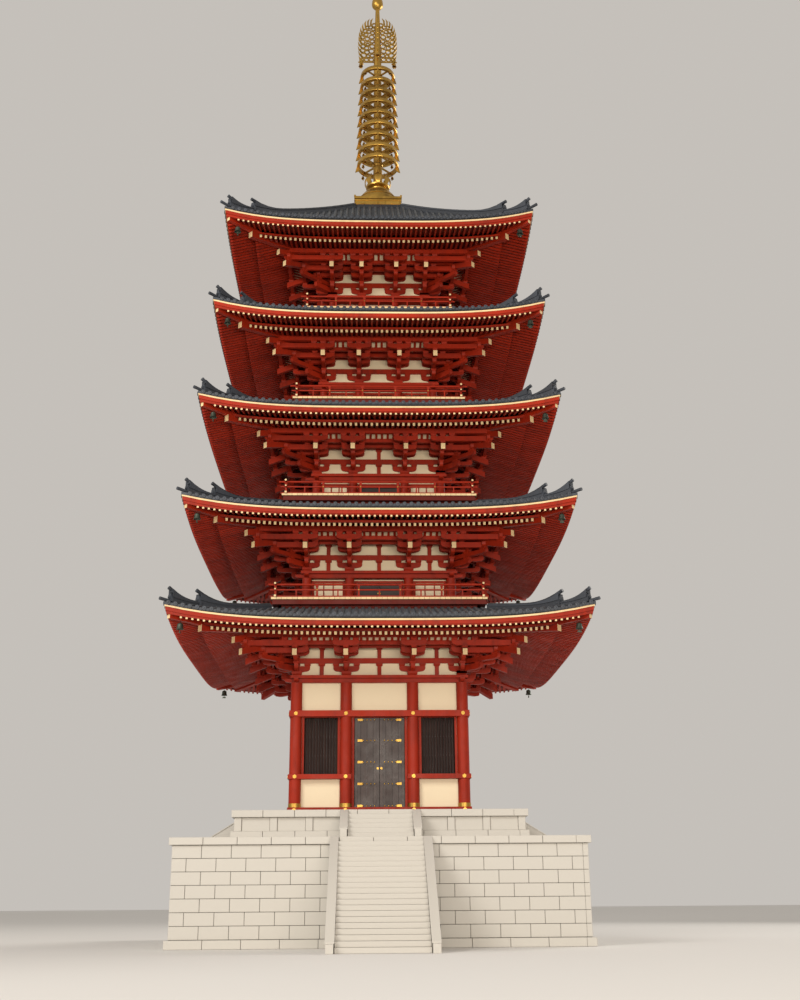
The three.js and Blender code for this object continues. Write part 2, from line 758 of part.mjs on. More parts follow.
function roban() {
  const seat = roofInnerTop(TOP_ROOF) - TILE_THICK;
  return join([
    slab(ROBAN_HALF - ROBAN_WAIST, [seat + GAP, ROBAN_TOP]),
    slab(ROBAN_HALF, [ROBAN_Z, ROBAN_Z + ROBAN_FOOT_LIP]),
    slab(ROBAN_HALF, [ROBAN_TOP - ROBAN_TOP_LIP, ROBAN_TOP]),
  ]);
}

function bowl() {
  const base = ROBAN_TOP + GAP;
  const profile = [[0, base], [BOWL_RADIUS, base]];
  BOWL_STEPS.forEach((angle) => {
    const turn = THREE.MathUtils.degToRad(angle);
    profile.push([BOWL_RADIUS * Math.cos(turn), base + BOWL_RADIUS * Math.sin(turn)]);
  });
  profile.push([BOWL_TOP_RADIUS, LOTUS_Z], [0, LOTUS_Z]);
  return solid(turned(profile, BOWL_FACES));
}

function lotus() {
  const base = LOTUS_Z + GAP;
  const petals = LOTUS_PROFILE.map(([radius, up]) => [radius, base + up]);
  const cup = [[MAST_RADII[0] * 2, base + LOTUS_DEPTH], [0, base + LOTUS_DEPTH]];
  return solid(turned([[0, base], ...petals, ...cup], BOWL_FACES));
}

function ring(index) {
  const z = RINGS_Z + index * RING_PITCH;
  const radius = RING_RADIUS - RING_TAPER * index;
  const band = [
    [radius, z + RING_SPAN[0]],
    [radius - RING_LEAN, z + RING_SPAN[1]],
    [radius - RING_LEAN - RING_THICK, z + RING_SPAN[1]],
    [radius - RING_THICK, z + RING_SPAN[0]],
    [radius, z + RING_SPAN[0]],
  ];
  const reach = radius - RING_THICK;
  const bar = box([-reach, reach], [-SPOKE_HALF, SPOKE_HALF], [z + SPOKE_Z[0], z + SPOKE_Z[1]]);
  return [solid(turned(band, RING_FACES)), bar.rotate([0, 0, 45]), bar.rotate([0, 0, -45])];
}

function ringMast() {
  const foot = LOTUS_Z + LOTUS_DEPTH + 2 * GAP;
  const mast = [
    [0, foot],
    [MAST_RADII[0], foot],
    [MAST_RADII[1], FLAME_Z - GAP],
    [0, FLAME_Z - GAP],
  ];
  const pieces = [solid(turned(mast, RING_FACES))];
  for (let index = 0; index < RING_COUNT; index++) pieces.push(...ring(index));
  return join(pieces);
}

function flame() {
  const tip = FLAME_TOP + NECK;
  const vane = outlineOf([
    [-MAST_RADII[3], FLAME_Z],
    [MAST_RADII[3], FLAME_Z],
    ...FLAME_OUTLINE.map(([out, up]) => [out, FLAME_Z + up]),
    [MAST_RADII[3], FLAME_TOP],
    [-MAST_RADII[3], FLAME_TOP],
  ]);
  const blade = new THREE.ExtrudeGeometry(vane, { depth: FLAME_THICK, bevelEnabled: false });
  blade.rotateX(Math.PI / 2).translate(0, FLAME_THICK / 2, 0);
  const mast = turned([[0, FLAME_Z], [MAST_RADII[2], FLAME_Z], [MAST_RADII[3], tip], [0, tip]], RING_FACES);
  return join([solid(mast), ...onFourSides(blade)]);
}

function jewel() {
  const low = FLAME_TOP + NECK + GAP;
  const outline = JEWEL_PROFILE.map(([radius, up]) => [radius, BALL_Z + up]);
  return solid(turned([[0, low], [MAST_RADII[3], low], ...outline, [0, TIP_Z]], RING_FACES));
}

node("finial_base", roban(), GOLD);
node("finial_bowl", bowl(), GOLD);
node("finial_lotus", lotus(), GOLD);
node("finial_rings", ringMast(), GOLD);
node("finial_flame", flame(), GOLD);
node("finial_jewel", jewel(), GOLD);

export default group;
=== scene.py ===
import math

import bmesh
import bpy
import numpy as np
from mathutils import Matrix, Vector


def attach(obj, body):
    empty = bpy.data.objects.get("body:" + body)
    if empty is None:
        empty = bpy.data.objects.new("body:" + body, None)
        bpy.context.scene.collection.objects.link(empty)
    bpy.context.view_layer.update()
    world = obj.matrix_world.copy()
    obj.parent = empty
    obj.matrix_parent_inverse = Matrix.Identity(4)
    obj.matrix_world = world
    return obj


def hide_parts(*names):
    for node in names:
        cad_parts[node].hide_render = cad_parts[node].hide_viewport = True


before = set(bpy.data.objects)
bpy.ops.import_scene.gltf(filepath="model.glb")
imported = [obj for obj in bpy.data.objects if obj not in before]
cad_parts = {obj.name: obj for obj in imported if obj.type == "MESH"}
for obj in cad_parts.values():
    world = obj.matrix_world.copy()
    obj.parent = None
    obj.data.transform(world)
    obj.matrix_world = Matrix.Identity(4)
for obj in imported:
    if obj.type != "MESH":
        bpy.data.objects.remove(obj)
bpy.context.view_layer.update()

bl_info = {
    "name": "Timber Pagoda",
    "version": (1, 0, 0),
    "blender": (4, 5, 0),
    "location": "View3D > Sidebar > Pagoda",
    "description": "Builds the stonework, timber, tiles and gilding of a pagoda around its solid model",
    "category": "Object",
}

# Sizes are the full-size tower's, in metres. The model is built at half of them.
MODEL = 0.5
TAU = 2 * math.pi
DIAGONAL = math.sqrt(2)
UP = Vector((0, 0, 1))
SIDES = ("front", "right", "back", "left")

# Stone base
TERRACE_HALF = 8.3
TERRACE_TOP = 4.2
PODIUM_HALF = 6.1
PODIUM_TOP = 5.4
PLINTH_HEIGHT = 0.35
PLINTH_OUT = 0.14
COPING_THICK = 0.3
COPING_OUT = 0.12
RISER = 0.2
TREAD = 0.27
LOWER_STAIR_HALF = 1.7
UPPER_STAIR_HALF = 1.35
CHEEK = 0.32
STAIR_COPING = 0.06
PLINTH_DEPTH = 0.4
COPING_DEPTH = 0.6
PAVED_FROM = 0.62  # distance in from the coping's outer face
FACING_DEPTH = 0.22
SHORTEST_STONE = 0.28
PODIUM_POSTS = 8
POST_HALF = 0.15

# Storeys, lowest first
EAVE_Z = (12.94, 17.92, 22.88, 27.82, 32.87)
EAVE_HALF = (8.98, 8.57, 8.14, 7.72, 7.41)
CORNER = (3.74, 3.38, 3.0, 2.73, 2.37)
INNER = (1.5, 1.385, 1.25, 0.985, 0.87)
COLUMN_RADIUS = (0.27, 0.23, 0.21, 0.2, 0.18)
FLOOR_Z = (PODIUM_TOP, 14.87, 19.96, 25.07, 30.18)
BALCONY_HALF = (0, 4.92, 4.575, 4.19, 3.78)
STOREYS = range(5)
TOP = STOREYS[-1]
CORNER_LIFT = 0.61
UPTURN = 3.5  # the lift grows with this power of the distance along the eave
TILE_LIFT = 0.88  # share of the corner lift the round tiles and ridges take

# Below the eave line
BEAM_TOP = 1.47
BEAM_BOTTOM = 1.79
FLYING_OUT = 1.3
FLYING_DROP = 0.08
FLYING_FALL = 0.28
FLYING_LIFT = 0.84  # share of the corner lift the flying rafters take
TIP_BACK = 0.08
TILE_THICK = 0.28
SOFFIT_SLOPE = 0.31
SOFFIT_DROP = 0.41
BASE_RAFTER = (0.105, 0.14)
FLYING_RAFTER = (0.085, 0.1)
BASE_ROW_HALF = (7.17, 6.78, 6.41, 6.11, 5.8)
FLYING_ROW_HALF = (8.32, 7.9, 7.41, 7.05, 6.78)
HIP_PAST_STEP = (0, 0, 0.16, 0.18, 0.18)
BELL_AT = (8.41, 7.98, 7.54, 7.12, 6.85)

# Brackets. Tiers are (underside, top) from the eave line.
PURLIN = 2.15
STEPS = (0.72, 1.43)
LOWER_ARM = (-1.29, -1.03)
LOWER_PLATE = (-0.9, -0.67)
MIDDLE_ARM = (-0.96, -0.76)
STEP_ARM = (-0.69, -0.44)
UPPER_ARM = (-0.53, -0.27)
PURLIN_ARM = (-0.51, -0.27)
UPPER_PLATE = (-0.12, 0.12)
CROWN_ARM = (0.2, 0.36)
LOWER_SEAT = -1.05
MIDDLE_SEAT = -0.78
PURLIN_SEAT = -0.62
TAIL_REACH = 2.35
CORNER_TAIL_REACH = 2.65
TAIL_SLOPE = 0.4
ARM_WIDE = 0.16
# Underside of a bracket arm: distance back from its end, share of its height
ARM_CURVE = ((0, 0.6), (0.02, 0.4), (0.07, 0.2), (0.16, 0.1), (0.34, 0))

# Storey openings
DOOR_SILL = 5.65
DOOR_HEAD = 9.6
DOOR_HALF = 1.13
WINDOW_SILL = 7.1
WINDOW = (1.87, 3.37)
WALL_THICK = 0.1
CASING = 0.1
CASING_PROUD = 0.04
BAR_PITCH = 0.125
WINDOW_BOARDS = 6
DOOR_PLANKS = 4
DOOR_RAIL = 0.16

# Balconies and finial
EDGE_BEAM_DROP = 0.32
PLANK_PITCH = 0.24
PLANK_GAP = 0.012
PLANK_THICK = 0.1
RAIL_INSET = 0.18
RAIL_BAYS = 5
BOX_HALF = 1.29
BOX_Z = (37.55, 38.17)
BOWL_RADIUS = 1.15
LOTUS_Z = 39.3
MAST_Z = LOTUS_Z + 0.5
RINGS_Z = 40.8
RING_PITCH = 0.742
RING_COUNT = 9
RING_RADIUS = 1.15
RING_SHRINK = 0.0225
FLAME_Z = 47.9
FLAME_TOP = 51.05
STEM_TOP = FLAME_TOP + 0.5
BALL_Z = 52.0
TIP_Z = 53.3


# Shape helpers. A front piece faces -Y, and "out" is its distance from the tower's axis.


def verts_since(bm, before):
    """The vertices a shape has gained since the set was taken."""
    return [vert for vert in bm.verts if vert not in before]


def faces_of(verts):
    return {face for vert in verts for face in vert.link_faces}


def paint(verts, finish):
    for face in faces_of(verts):
        face.material_index = finish
    return verts


def block(bm, low, high, finish=0):
    """A block between two opposite corners."""
    low, high = Vector(low), Vector(high)
    place = Matrix.Translation((low + high) / 2) @ Matrix.Diagonal((*(high - low), 1))
    return paint(bmesh.ops.create_cube(bm, size=1, matrix=place)["verts"], finish)


def slab(bm, half, low, high, finish=0):
    """A square block about the tower's axis."""
    block(bm, (-half, -half, low), (half, half, high), finish)


def front_block(bm, across, out, height, finish=0):
    """A block on the front side, from (low, high) in x, in distance out and in z."""
    return block(bm, (across[0], -out[1], height[0]), (across[1], -out[0], height[1]), finish)


def sheared(foot, tip, width, height):
    """The matrix that lays a unit cube between two points of its underside, ends upright."""
    foot, tip = Vector(foot), Vector(tip)
    run = tip - foot
    across = Vector((run.y, -run.x, 0)).normalized() * width
    place = Matrix.Identity(4)
    place.col[0] = (*across, 0)
    place.col[1] = (*run, 0)
    place.col[2] = (0, 0, height, 0)
    place.col[3] = (*((foot + tip) / 2 + UP * height / 2), 1)
    return place


def stick(bm, foot, tip, width, height, finish=0, tip_finish=None):
    """A timber between two points of its underside, with a painted end if asked."""
    made = bmesh.ops.create_cube(bm, size=1, matrix=sheared(foot, tip, width, height))["verts"]
    paint(made, finish)
    if tip_finish is not None:
        end = Vector(tip) + UP * height / 2
        nearest = min(faces_of(made), key=lambda face: (face.calc_center_median() - end).length)
        nearest.material_index = tip_finish


def paint_ends(verts, finish):
    """Paints the end faces of a rail that runs along x."""
    for face in faces_of(verts):
        if len({round(vert.co.x, 4) for vert in face.verts}) == 1:
            face.material_index = finish


def rod(bm, start, end, radius, sides, finish=0, end_radius=None):
    """A round bar between two points."""
    start, end = Vector(start), Vector(end)
    run = end - start
    turned = run.to_track_quat("Z", "Y").to_matrix().to_4x4()
    made = bmesh.ops.create_cone(
        bm,
        cap_ends=True,
        segments=sides,
        radius1=radius,
        radius2=radius if end_radius is None else end_radius,
        depth=run.length,
        matrix=Matrix.Translation((start + end) / 2) @ turned,
    )
    return paint(made["verts"], finish)


def boss(bm, x, z, start, end, radius, sides, finish=0, end_radius=None):
    """A round bar on the front that points outwards, between two distances from the axis."""
    return rod(bm, (x, -start, z), (x, -end, z), radius, sides, finish, end_radius)


def push(bm, faces, move):
    """Pushes faces out into a solid. Returns the vertices of its far end."""
    grown = bmesh.ops.extrude_face_region(bm, geom=faces)["geom"]
    moved = [part for part in grown if isinstance(part, bmesh.types.BMVert)]
    bmesh.ops.translate(bm, vec=move, verts=moved)
    return moved


def prism(bm, points, move, finish=0):
    """A flat outline pushed into a solid."""
    ring = [bm.verts.new(point) for point in points]
    return paint(ring + push(bm, [bm.faces.new(ring)], move), finish)


def front_prism(bm, outline, low, high, finish=0):
    """An outline of (out, z) points, made thick from x = low to high."""
    return prism(bm, [(low, -out, z) for out, z in outline], (high - low, 0, 0), finish)


def face_prism(bm, outline, out, thick, finish=0):
    """An outline of (x, z) points that faces the front, with its outer face at out."""
    return prism(bm, [(x, -out, z) for x, z in outline], (0, thick, 0), finish)


def lathe(bm, profile, sides, centre=(0, 0, 0), finish=0):
    """A turned piece from (radius, z) points, closed at poles."""
    before = set(bm.verts)
    verts = [bm.verts.new((radius, 0, z)) for radius, z in profile]
    edges = [bm.edges.new(pair) for pair in zip(verts, verts[1:])]
    bmesh.ops.spin(
        bm,
        geom=verts + edges,
        cent=(0, 0, 0),
        axis=(0, 0, 1),
        dvec=(0, 0, 0),
        angle=TAU,
        steps=sides,
        use_merge=True,
        use_duplicate=False,
    )
    bmesh.ops.remove_doubles(bm, verts=verts_since(bm, before), dist=1e-5)
    made = verts_since(bm, before)
    bmesh.ops.translate(bm, vec=centre, verts=made)
    return paint(made, finish)


def closed_ring(bm, section, sides):
    """A turned band whose (radius, z) section is a closed loop."""
    return lathe(bm, [*section, section[0]], sides)


def repeat(bm, verts, count, shift=(0, 0, 0), angle=0):
    """Adds copies of a shape until there are count. The angle is that of the last copy."""
    edges = {edge for vert in verts for edge in vert.link_edges}
    bmesh.ops.spin(
        bm,
        geom=[*verts, *edges, *faces_of(verts)],
        cent=(0, 0, 0),
        axis=(0, 0, 1),
        dvec=shift,
        angle=angle,
        steps=count - 1,
        use_duplicate=True,
    )


def row(bm, verts, count, pitch):
    """Repeats pieces along x."""
    repeat(bm, verts, count, shift=(pitch, 0, 0))


def around(bm, verts, count):
    """Repeats pieces evenly round the axis."""
    repeat(bm, verts, count, angle=TAU * (count - 1) / count)


def on_four_sides(bm, before=()):
    """Repeats on the other three sides what was built since then, or everything."""
    around(bm, verts_since(bm, before), 4)


def turn(bm, verts, angle):
    """Turns pieces about the axis."""
    bmesh.ops.rotate(bm, verts=verts, cent=(0, 0, 0), matrix=Matrix.Rotation(angle, 3, "Z"))


def to_diagonal(bm, before):
    """Turns what was built since then from the front to the corner."""
    turn(bm, verts_since(bm, before), math.pi / 4)


def bevel_edges(bm, width):
    bmesh.ops.bevel(
        bm, geom=bm.edges[:], offset=width, segments=1, profile=0.5, affect="EDGES", material=-1
    )


def square_band(bm, inner, outer, low, high, finish=0):
    """One side of a square ring, mitred at its corners."""
    outline = [(-outer, -outer, low), (outer, -outer, low), (inner, -inner, low), (-inner, -inner, low)]
    return prism(bm, outline, (0, 0, high - low), finish)


def masu(bm, x, out, low, size, height):
    """A bearing block with a tapered foot."""
    waist = low + 0.4 * height
    half = size / 2
    front_block(bm, (x - half, x + half), (out - half, out + half), (waist, low + height))
    bmesh.ops.create_cone(
        bm,
        cap_ends=True,
        segments=4,
        radius1=half * 0.72 * DIAGONAL,
        radius2=half * DIAGONAL,
        depth=waist - low,
        matrix=Matrix.Translation((x, -out, (low + waist) / 2)) @ Matrix.Rotation(math.pi / 4, 4, "Z"),
    )


def arm_outline(start, end, low, high, round_start=True, round_end=True):
    """The side of a bracket arm, curved up under its free ends."""
    rise = high - low
    points = [(start, high)]
    for back, share in ARM_CURVE if round_start else [(0, 0)]:
        points.append((start + back, low + share * rise))
    for back, share in reversed(ARM_CURVE) if round_end else [(0, 0)]:
        points.append((end - back, low + share * rise))
    return [*points, (end, high)]


# Curves of the roofs, the same as the solid model's


def clamped(value, power):
    return max(0.0, min(1.0, value)) ** power


def roof_inner(storey):
    return BALCONY_HALF[storey + 1] - 0.45 if storey < TOP else BOX_HALF + 0.01


def roof_inner_top(storey):
    return FLOOR_Z[storey + 1] - EDGE_BEAM_DROP if storey < TOP else BOX_Z[0] - 0.01


def outward(storey, half, start, power):
    """Share of the way from start to the eave, raised to a power."""
    return clamped((half - start) / (EAVE_HALF[storey] - start), power)


def tile_top(storey, half):
    inner = roof_inner(storey)
    climb = clamped((EAVE_HALF[storey] - half) / (EAVE_HALF[storey] - inner), 1.2)
    eave = EAVE_Z[storey] + TILE_THICK
    return eave + (roof_inner_top(storey) - eave) * climb


def tile_share(storey, half):
    return outward(storey, half, roof_inner(storey), 1.5)


def soffit_z(storey, half):
    return EAVE_Z[storey] - SOFFIT_DROP + (EAVE_HALF[storey] - FLYING_OUT - half) * SOFFIT_SLOPE


def soffit_share(storey, half):
    return outward(storey, half, CORNER[storey], 2.5)


def flying_z(storey, half):
    """Underside of the flying rafters, which slope gently down to their tips."""
    step = EAVE_HALF[storey] - FLYING_OUT
    return EAVE_Z[storey] - FLYING_DROP - (half - step) * FLYING_FALL / (FLYING_OUT - TIP_BACK)


def flying_share(storey, half, end=1.0):
    step = EAVE_HALF[storey] - FLYING_OUT
    start = soffit_share(storey, step)
    return start + (end - start) * clamped((half - step) / FLYING_OUT, 1)


def corner_rise(share, part):
    return CORNER_LIFT * share * abs(part) ** UPTURN


def bend_along_eave(verts, share):
    """Straight pieces with x as a share of the side take the side's length and the corner's upturn."""
    for vert in verts:
        part, half = vert.co.x, -vert.co.y
        vert.co.x = part * half
        vert.co.z += corner_rise(share(half), part)


def eave_sheet(bm, inner, outer, height, share, thick, finish=0, rows=6):
    """Boarding between two distances from the axis, at height(half)."""
    made = bmesh.ops.create_grid(bm, x_segments=22, y_segments=rows, size=1)["verts"]
    for vert in made:
        half = inner + (outer - inner) * (1 - vert.co.y) / 2
        vert.co = (vert.co.x, -half, height(half))
    bend_along_eave(made, share)
    paint(made + push(bm, list(faces_of(made)), (0, 0, thick)), finish)


def eave_band(bm, inner, outer, low, high, share, finish=0):
    """A board that follows the eaves and is mitred at the corners."""
    eave_sheet(bm, inner, outer, lambda half: low, share, high - low, finish, 1)


# Finishes


def new_group(name, inputs, outputs):
    """A shader node group. Inputs and outputs give the name and type of each socket."""
    tree = bpy.data.node_groups.new(name, "ShaderNodeTree")
    for way, sockets in (("INPUT", inputs), ("OUTPUT", outputs)):
        for label, kind in sockets.items():
            tree.interface.new_socket(label, in_out=way, socket_type="NodeSocket" + kind)
    return tree, add_node(tree, "NodeGroupInput"), add_node(tree, "NodeGroupOutput")


def add_node(tree, kind, values=None, **settings):
    node = tree.nodes.new(kind)
    for name, value in settings.items():
        setattr(node, name, value)
    for name, value in (values or {}).items():
        node.inputs[name].default_value = value
    return node


def join(tree, *pairs):
    for start, end in pairs:
        tree.links.new(start, end)


def mixed(tree, factor, first, second, blend="MIX"):
    """A colour mix whose factor and colours are sockets or plain values."""
    node = add_node(tree, "ShaderNodeMix", data_type="RGBA", blend_type=blend)
    for socket, value in ((node.inputs[0], factor), (node.inputs[6], first), (node.inputs[7], second)):
        if isinstance(value, bpy.types.NodeSocket):
            tree.links.new(value, socket)
        else:
            socket.default_value = value
    return node.outputs[2]


def ranged(tree, value, low, high, to_low=0.0, to_high=1.0):
    node = add_node(tree, "ShaderNodeMapRange", {1: low, 2: high, 3: to_low, 4: to_high})
    tree.links.new(value, node.inputs[0])
    return node.outputs[0]


def times(tree, first, second):
    node = add_node(tree, "ShaderNodeMath", operation="MULTIPLY")
    join(tree, (first, node.inputs[0]), (second, node.inputs[1]))
    return node.outputs[0]


def noise_at(tree, scale, stretch=(1, 1, 1), detail=5.0, rough=0.6):
    """Noise on the piece's own coordinates, stretched if asked."""
    place = add_node(tree, "ShaderNodeTexCoord")
    mapping = add_node(tree, "ShaderNodeMapping", {"Scale": stretch})
    noise = add_node(tree, "ShaderNodeTexNoise", {"Scale": scale, "Detail": detail, "Roughness": rough})
    join(tree, (place.outputs["Object"], mapping.inputs[0]), (mapping.outputs[0], noise.inputs["Vector"]))
    return noise.outputs["Fac"]


def make_part_tone():
    """Each board, block or tile is a little lighter or darker than its neighbours."""
    sockets = {"Colour": "Color", "Spread": "Float"}
    tree, inside, outside = new_group("Part Tone", sockets, {"Colour": "Color"})
    tone = add_node(tree, "ShaderNodeAttribute", attribute_name="tone")
    level = add_node(tree, "ShaderNodeMath", {2: 1.0}, operation="MULTIPLY_ADD")
    grey = add_node(tree, "ShaderNodeCombineColor")
    join(
        tree,
        (ranged(tree, tone.outputs["Fac"], 0, 1, -0.5, 0.5), level.inputs[0]),
        (inside.outputs["Spread"], level.inputs[1]),
        *((level.outputs[0], channel) for channel in grey.inputs),
        (mixed(tree, 1.0, inside.outputs["Colour"], grey.outputs[0], "MULTIPLY"), outside.inputs[0]),
    )
    return tree


def make_covering(name, covering, masks):
    """A second colour that covers the first by an amount, where both masks allow it."""
    sockets = {"Colour": "Color", covering: "Color", "Amount": "Float"}
    tree, inside, outside = new_group(name, sockets, {"Colour": "Color"})
    share = times(tree, times(tree, *masks(tree)), inside.outputs["Amount"])
    colour = mixed(tree, share, inside.outputs["Colour"], inside.outputs[covering])
    join(tree, (colour, outside.inputs["Colour"]))
    return tree


def worn_masks(tree):
    """Faded patches and rain-worn streaks."""
    patches = noise_at(tree, 1.3, detail=6.0, rough=0.65)
    streaks = noise_at(tree, 9.0, (1, 1, 0.12), 4.0, 0.55)
    return ranged(tree, patches, 0.4, 0.7), ranged(tree, streaks, 0.35, 0.7)


def dust_masks(tree):
    """Faces that look up, and drifts of dust on them."""
    parts = add_node(tree, "ShaderNodeSeparateXYZ")
    join(tree, (add_node(tree, "ShaderNodeNewGeometry").outputs["Normal"], parts.inputs[0]))
    drifts = noise_at(tree, 2.2, detail=7.0, rough=0.7)
    return ranged(tree, parts.outputs[2], 0.35, 1.0), ranged(tree, drifts, 0.4, 0.65)


def make_fine_relief():
    """Fine unevenness of a surface, as a height and as a roughness."""
    tree, inside, outside = new_group(
        "Fine Relief",
        {"Scale": "Float", "Rough Low": "Float", "Rough High": "Float"},
        {"Height": "Float", "Roughness": "Float"},
    )
    place = add_node(tree, "ShaderNodeTexCoord")
    fine = add_node(tree, "ShaderNodeTexNoise", {"Detail": 8.0, "Roughness": 0.65})
    rough = add_node(tree, "ShaderNodeMapRange", {1: 0.3, 2: 0.7})
    join(
        tree,
        (place.outputs["Object"], fine.inputs["Vector"]),
        (inside.outputs["Scale"], fine.inputs["Scale"]),
        (fine.outputs["Fac"], outside.inputs["Height"]),
        (noise_at(tree, 3.0, detail=4.0), rough.inputs[0]),
        (inside.outputs["Rough Low"], rough.inputs[3]),
        (inside.outputs["Rough High"], rough.inputs[4]),
        (rough.outputs[0], outside.inputs["Roughness"]),
    )
    return tree


EFFECTS = {
    "Part Tone": make_part_tone,
    "Weathering": lambda: make_covering("Weathering", "Worn Colour", worn_masks),
    "Settled Dust": lambda: make_covering("Settled Dust", "Dust Colour", dust_masks),
    "Fine Relief": make_fine_relief,
}


def effect(tree, name, values):
    """Places a shared effect in a material."""
    shared = bpy.data.node_groups.get(name) or EFFECTS[name]()
    return add_node(tree, "ShaderNodeGroup", values, node_tree=shared)


def new_material(name, metallic=0.0, **constants):
    material = bpy.data.materials.new(name)
    material.use_nodes = True
    shader = material.node_tree.nodes["Principled BSDF"]
    shader.inputs["Metallic"].default_value = metallic
    for label, value in constants.items():
        shader.inputs[label.replace("_", " ")].default_value = value
    return material, material.node_tree, shader


def coated(
    name, colour, worn, dust, rough, relief, metallic=0.0, spread=0.25, worn_by=0.5, dust_by=0.4, gloss=0.5
):
    """A surface with tone, weathering, dust and relief. rough is (low, high), relief (scale, strength)."""
    material, tree, shader = new_material(name, metallic, Specular_IOR_Level=gloss)
    tone = effect(tree, "Part Tone", {"Colour": colour, "Spread": spread})
    weather = effect(tree, "Weathering", {"Worn Colour": worn, "Amount": worn_by})
    settled = effect(tree, "Settled Dust", {"Dust Colour": dust, "Amount": dust_by})
    fine = effect(tree, "Fine Relief", {"Scale": relief[0], "Rough Low": rough[0], "Rough High": rough[1]})
    bump = add_node(tree, "ShaderNodeBump", {"Strength": relief[1], "Distance": 0.01})
    join(
        tree,
        (tone.outputs["Colour"], weather.inputs["Colour"]),
        (weather.outputs["Colour"], settled.inputs["Colour"]),
        (settled.outputs["Colour"], shader.inputs["Base Color"]),
        (fine.outputs["Roughness"], shader.inputs["Roughness"]),
        (fine.outputs["Height"], bump.inputs["Height"]),
        (bump.outputs["Normal"], shader.inputs["Normal"]),
    )
    return material


def shade(colour, by):
    return (*(min(1.0, part * by) for part in colour[:3]), 1.0)


SOOT = (0.035, 0.012, 0.01, 1)
GREY_DUST = (0.3, 0.27, 0.24, 1)
MOSS = (0.13, 0.13, 0.085, 1)


def make_granite(name, colour):
    """Speckled granite with rain stains."""
    stain, lichen, speck = (0.12, 0.11, 0.095, 1), (0.2, 0.2, 0.13, 1), (0.07, 0.065, 0.06, 1)
    rough, relief = (0.65, 0.9), (60.0, 0.35)
    granite = coated(name, colour, stain, lichen, rough, relief, spread=0.3, worn_by=0.55, dust_by=0.3)
    tree = granite.node_tree
    base = tree.nodes["Principled BSDF"].inputs["Base Color"]
    plain = base.links[0].from_socket
    specks = add_node(tree, "ShaderNodeTexVoronoi", {"Scale": 55.0})
    place = add_node(tree, "ShaderNodeTexCoord")
    join(tree, (place.outputs["Object"], specks.inputs["Vector"]))
    dark = ranged(tree, specks.outputs["Distance"], 0.0, 0.35, 0.6, 0.0)
    join(tree, (mixed(tree, dark, plain, speck), base))


def make_wall_finishes(pick):
    """Painted timber, a copy of it darkened as painted shade, its cream ends and the plaster."""
    timber, cream, plaster = (*pick.timber, 1), (*pick.cream, 1), (*pick.plaster, 1)
    yellowed, stained = (0.35, 0.2, 0.1, 1), (0.4, 0.31, 0.22, 1)
    relief = (26.0, 0.25)
    coated("vermilion", timber, SOOT, GREY_DUST, (0.4, 0.65), relief, worn_by=0.6, dust_by=0.15, gloss=0.2)
    # The timber colour at 0.4 of its brightness: painted shade for the boarding over the rafters and the
    # balcony beams.
    coated("timber_painted_shade", shade(timber, 0.4), SOOT, GREY_DUST, (0.45, 0.7), relief, gloss=0.25)
    coated("cream", cream, yellowed, GREY_DUST, (0.4, 0.6), (30.0, 0.1), spread=0.15)
    coated("plaster", plaster, stained, GREY_DUST, (0.75, 0.95), (18.0, 0.15))


def make_board_finishes(pick):
    """The dark doors and window boards, and the bare planks of the balconies."""
    lacquer, plank = (*pick.lacquer, 1), (0.15, 0.075, 0.04, 1)
    worn_lacquer, worn_plank = (0.07, 0.035, 0.025, 1), (0.07, 0.05, 0.04, 1)
    coated("lacquer", lacquer, worn_lacquer, GREY_DUST, (0.3, 0.55), (24.0, 0.25), spread=0.4)
    coated("planks", plank, worn_plank, GREY_DUST, (0.6, 0.85), (24.0, 0.4))


def make_tile_finishes(pick):
    """The fired tiles, and a copy of them darkened as painted shade for the bed under them."""
    tile = (*pick.tile, 1)
    coated("tile", tile, shade(tile, 0.5), MOSS, (0.38, 0.62), (34.0, 0.3), spread=0.55, dust_by=0.5)
    # The tile colour at 0.35 of its brightness: painted shade under the eave-end tiles and at the foot of
    # the finial's box.
    coated("tile_bed_painted_shade", shade(tile, 0.35), SOOT, MOSS, (0.7, 0.9), (20.0, 0.3))


def make_metal_finishes(pick):
    """The finial's gilding and the bells' bronze."""
    gilding, worn_gilding, dull = (*pick.gilding, 1), (0.12, 0.07, 0.025, 1), (0.3, 0.22, 0.1, 1)
    bronze, worn_bronze = (0.09, 0.11, 0.085, 1), (0.03, 0.035, 0.03, 1)
    coated("gilding", gilding, worn_gilding, dull, (0.28, 0.5), (22.0, 0.12), 1.0, worn_by=0.8)
    coated("bronze", bronze, worn_bronze, MOSS, (0.4, 0.65), (30.0, 0.2), 0.8, worn_by=0.8)


def make_finishes():
    """All the materials of the tower, from the chosen colours."""
    pick = bpy.context.scene.pagoda_colours
    for make in (make_wall_finishes, make_board_finishes, make_tile_finishes, make_metal_finishes):
        make(pick)
    make_granite("granite", shade(pick.granite, 1.0))
    make_granite("joint", shade(pick.granite, 0.35))


SHARP_FROM = math.radians(30)


def give_tones(mesh):
    """Gives every separate block, board or tile of a mesh its own random tone."""
    ends = np.empty(len(mesh.edges) * 2, dtype=np.int32)
    mesh.edges.foreach_get("vertices", ends)
    first, second = ends[0::2], ends[1::2]
    part = np.arange(len(mesh.vertices))
    while True:
        lower = np.minimum(part[first], part[second])
        spread = part.copy()
        np.minimum.at(spread, first, lower)
        np.minimum.at(spread, second, lower)
        spread = spread[spread]
        if np.array_equal(spread, part):
            break
        part = spread
    tones = np.random.default_rng(len(part)).random(len(part)).astype(np.float32)[part]
    mesh.attributes.new("tone", "FLOAT", "POINT").data.foreach_set("value", tones)


def new_object(name, data):
    made = bpy.data.objects.new(name, data)
    bpy.context.scene.collection.objects.link(made)
    return made


